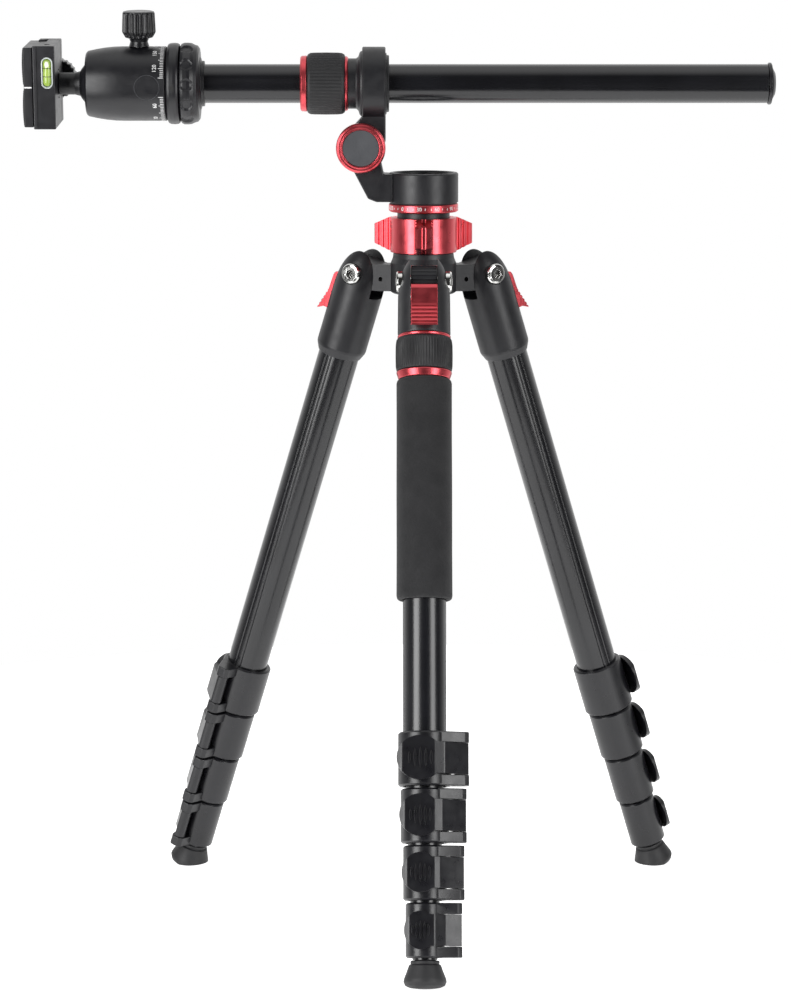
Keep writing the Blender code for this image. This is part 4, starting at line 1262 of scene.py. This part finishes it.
def plate_pad(end):
    """One half of the rubber facing, ribbed across, with a domed profile."""
    low = 0.0008
    high = 0.0259
    count = 16
    outline = [(low, 0.0208)]
    for i in range(count + 1):
        share = i / count
        along = low + (high - low) * share
        lift = 0.0211 + 0.0008 * sin(pi * share) ** 0.6
        outline.append((along, lift))
        if i < count:
            outline.append((along + (high - low) / count * 0.5, lift - 0.00025))
    outline.append((high, 0.0208))
    body = prism([(end * along, lift) for along, lift in outline], -0.0231, 0.0231, FLAT_XZ, bevel=0)
    slot = box((-0.0300, -0.0040, 0.0180), (0.0300, 0.0040, 0.03))
    return solid(body, ("DIFFERENCE", slot), bevel=0)


def camera_screw():
    outline = [
        (0, 0.0217), (0.0024, 0.0217), (0.00317, 0.0210), (0.00317, 0.0122), (0.0084, 0.0122),
        (0.0086, 0.0119), (0.0086, 0.0095), (0.0084, 0.0092), (0, 0.0092),
    ]

    def thread(angle, radius, height):
        inside = 0.0028 < radius < 0.0034 and height > 0.0128
        return -0.00035 * (0.5 - 0.5 * cos(2 * pi * height / 0.00127 - angle)) if inside else 0

    fine = divided(outline, 48, lambda first, second: first[0] == second[0] == 0.00317)
    body = lathe(fine, 48, 0, thread)
    slot = box((-0.0012, -0.02, 0.0), (0.0012, 0.02, 0.0104))
    return solid(body, ("DIFFERENCE", slot), bevel=0)


def make_level(clamp):
    """The vial in its clear capsule, with its two rings and its bubble at the upper end."""
    front = CLAMP_HALF_WIDTH
    frame_ring = solid(
        prism(capsule(LEVEL_RADIUS), 0.0231, front + 0.0003, FLAT_XZ, bevel=0.0002),
        ("DIFFERENCE", prism(capsule(LEVEL_RADIUS - 0.0008), 0.0239, 0.03, FLAT_XZ, bevel=0)),
        bevel=0,
    )
    place = clamp @ at(*LEVEL_AT)
    put("level_frame", frame_ring, place, "clamp", "clear_edge", "bubble_level")
    tube = [(0, 0.0091), (0.0016, 0.0087), (0.0026, 0.0078), (0.0029, 0.0064), (0.0029, -0.0064)]
    tube += [(0.0026, -0.0078), (0.0016, -0.0087), (0, -0.0091)]
    vial_at = place @ at(0, -0.0236, 0) @ ALONG_X
    put("level_vial", lathe(tube, MEDIUM, 0.0008), vial_at, "clamp", "vial")
    for name, along in (("upper", 0.0031), ("lower", -0.0024)):
        low = along - 0.0002
        high = along + 0.0002
        band = [(0.0028, high), (0.00298, high), (0.00298, low), (0.0028, low)]
        put(f"level_{name}_line", lathe(band, MEDIUM, 0), vial_at, "clamp", "mark")
    bubble = [(0, 0.0026), (0.0012, 0.0021), (0.0017, 0.0008)]
    bubble += [(0.0017, -0.0008), (0.0012, -0.0021), (0, -0.0026)]
    bubble_at = place @ at(0.0055, -0.0252, 0) @ ALONG_X
    put("level_bubble", lathe(bubble, 32, 0.0006), bubble_at, "clamp", "bubble")


def make_clamp():
    clamp = HEAD @ at(0, 0, CLAMP_BACK)
    put("clamp_body_block", clamp_body(), clamp, "clamp", "head_coat", "clamp_body")
    put("clamp_jaw_block", clamp_jaw(), clamp, "clamp_jaw", "head_coat", "clamp_jaw")
    knob_at = clamp @ at(0, 0, SCREW_Z) @ ALONG_Y
    put("clamp_knob_grip", clamp_knob(), knob_at, "clamp_knob", "plastic", "clamp_knob")
    screw = [(0, 0.0262), (0.0018, 0.0262), (0.0020, 0.0258), (0.0020, 0.0236), (0, 0.0236)]
    set_screw = lathe(screw, 32, 0.0002)
    put("clamp_set_screw", set_screw, clamp @ at(0, -0.0140, 0.0060) @ ALONG_X, "clamp", "chrome")
    put("release_plate", plate(), clamp, "plate", "head_coat", "quick_release_plate")
    put("plate_pad_upper", plate_pad(1), clamp, "plate", "rubber")
    put("plate_pad_lower", plate_pad(-1), clamp, "plate", "rubber")
    line = box((-0.0005, -0.0233, 0.0203), (0.0005, 0.0233, 0.02085), bevel=0.0001)
    put("plate_centre_line", line, clamp, "plate", "print")
    put("camera_screw_body", camera_screw(), clamp, "camera_screw", "chrome", "camera_screw")
    mark = box((-0.0005, -0.0239, 0.0156), (0.0005, -0.0234, 0.0204), bevel=0.0001)
    put("plate_front_mark", mark, clamp, "plate", "print")
    make_level(clamp)


# ---- Studio ----


def make_world():
    """White behind and above for the rims, and dim in front, so that black surfaces stay black."""
    world = bpy.data.worlds.new("studio")
    bpy.context.scene.world = world
    world.use_nodes = True
    nodes = world.node_tree.nodes
    links = world.node_tree.links
    background = nodes["Background"]
    direction = nodes.new("ShaderNodeTexCoord")
    parts = nodes.new("ShaderNodeSeparateXYZ")
    links.new(direction.outputs["Generated"], parts.inputs["Vector"])
    depth = nodes.new("ShaderNodeMapRange")
    depth.inputs["From Min"].default_value = -0.15
    depth.inputs["From Max"].default_value = 0.65
    depth.inputs["To Min"].default_value = 0.03
    depth.inputs["To Max"].default_value = 1.05
    links.new(parts.outputs["Y"], depth.inputs["Value"])
    height = nodes.new("ShaderNodeMapRange")
    height.inputs["From Min"].default_value = 0.75
    height.inputs["From Max"].default_value = 1.0
    height.inputs["To Min"].default_value = 0.0
    height.inputs["To Max"].default_value = 1.25
    links.new(parts.outputs["Z"], height.inputs["Value"])
    most = nodes.new("ShaderNodeMath")
    most.operation = "MAXIMUM"
    links.new(depth.outputs["Result"], most.inputs[0])
    links.new(height.outputs["Result"], most.inputs[1])
    seen = nodes.new("ShaderNodeLightPath")
    pick = nodes.new("ShaderNodeMix")
    links.new(seen.outputs["Is Camera Ray"], pick.inputs["Factor"])
    links.new(most.outputs["Value"], pick.inputs["A"])
    pick.inputs["B"].default_value = 1.0
    links.new(pick.outputs["Result"], background.inputs["Strength"])
    background.inputs["Color"].default_value = (1, 1, 1, 1)


def softbox(name, place, target, size, radiance):
    light = bpy.data.lights.new(name, "AREA")
    light.shape = "RECTANGLE"
    light.size, light.size_y = size
    light.energy = radiance * pi * size[0] * size[1]
    obj = bpy.data.objects.new(name, light)
    bpy.context.scene.collection.objects.link(obj)
    obj.location = place
    obj.rotation_euler = (Vector(target) - Vector(place)).to_track_quat("-Z", "Y").to_euler()
    obj.visible_camera = False


def make_stage():
    floor = bpy.data.objects.new("floor", lathe([(0, 0), (0.75, 0), (0.75, -0.01), (0, -0.01)], MEDIUM, 0))
    bpy.context.scene.collection.objects.link(floor)
    floor.location = (0, 0.15, -0.0002)
    paper = coat("white_paper", (0.90, 0.90, 0.90), (0.93, 0.93, 0.93), (0.85, 0.95), 300.0, 0.00005)
    glow = paper.node_tree.nodes["Principled BSDF"]
    glow.inputs["Emission Color"].default_value = (1, 1, 1, 1)
    glow.inputs["Emission Strength"].default_value = 0.75
    floor.data.materials.append(paper)
    target = (0, 0, 0.36)
    softbox("left_softbox", (-0.95, -0.95, 0.55), target, (0.70, 1.3), 7.5)
    softbox("right_softbox", (0.95, -0.95, 0.55), target, (0.55, 1.3), 6.0)


def make_camera():
    camera = bpy.data.cameras.new("camera")
    camera.lens = 116.68
    camera.sensor_width = 36.0
    camera.clip_start = 0.05
    obj = bpy.data.objects.new("camera", camera)
    bpy.context.scene.collection.objects.link(obj)
    obj.location = (-0.00372, -2.1355, 0.6421)
    obj.rotation_euler = (pi / 2 - 0.164, 0, 0)
    bpy.context.scene.camera = obj


bpy.context.scene.view_settings.view_transform = "Standard"
make_camera()
make_world()
make_stage()
leg_shapes = make_leg_shapes()
for side_name in SIDES:
    make_leg(side_name, leg_shapes)
make_front_leg_covers()
make_centre()
make_tilt()
make_column()
make_head()
make_clamp()
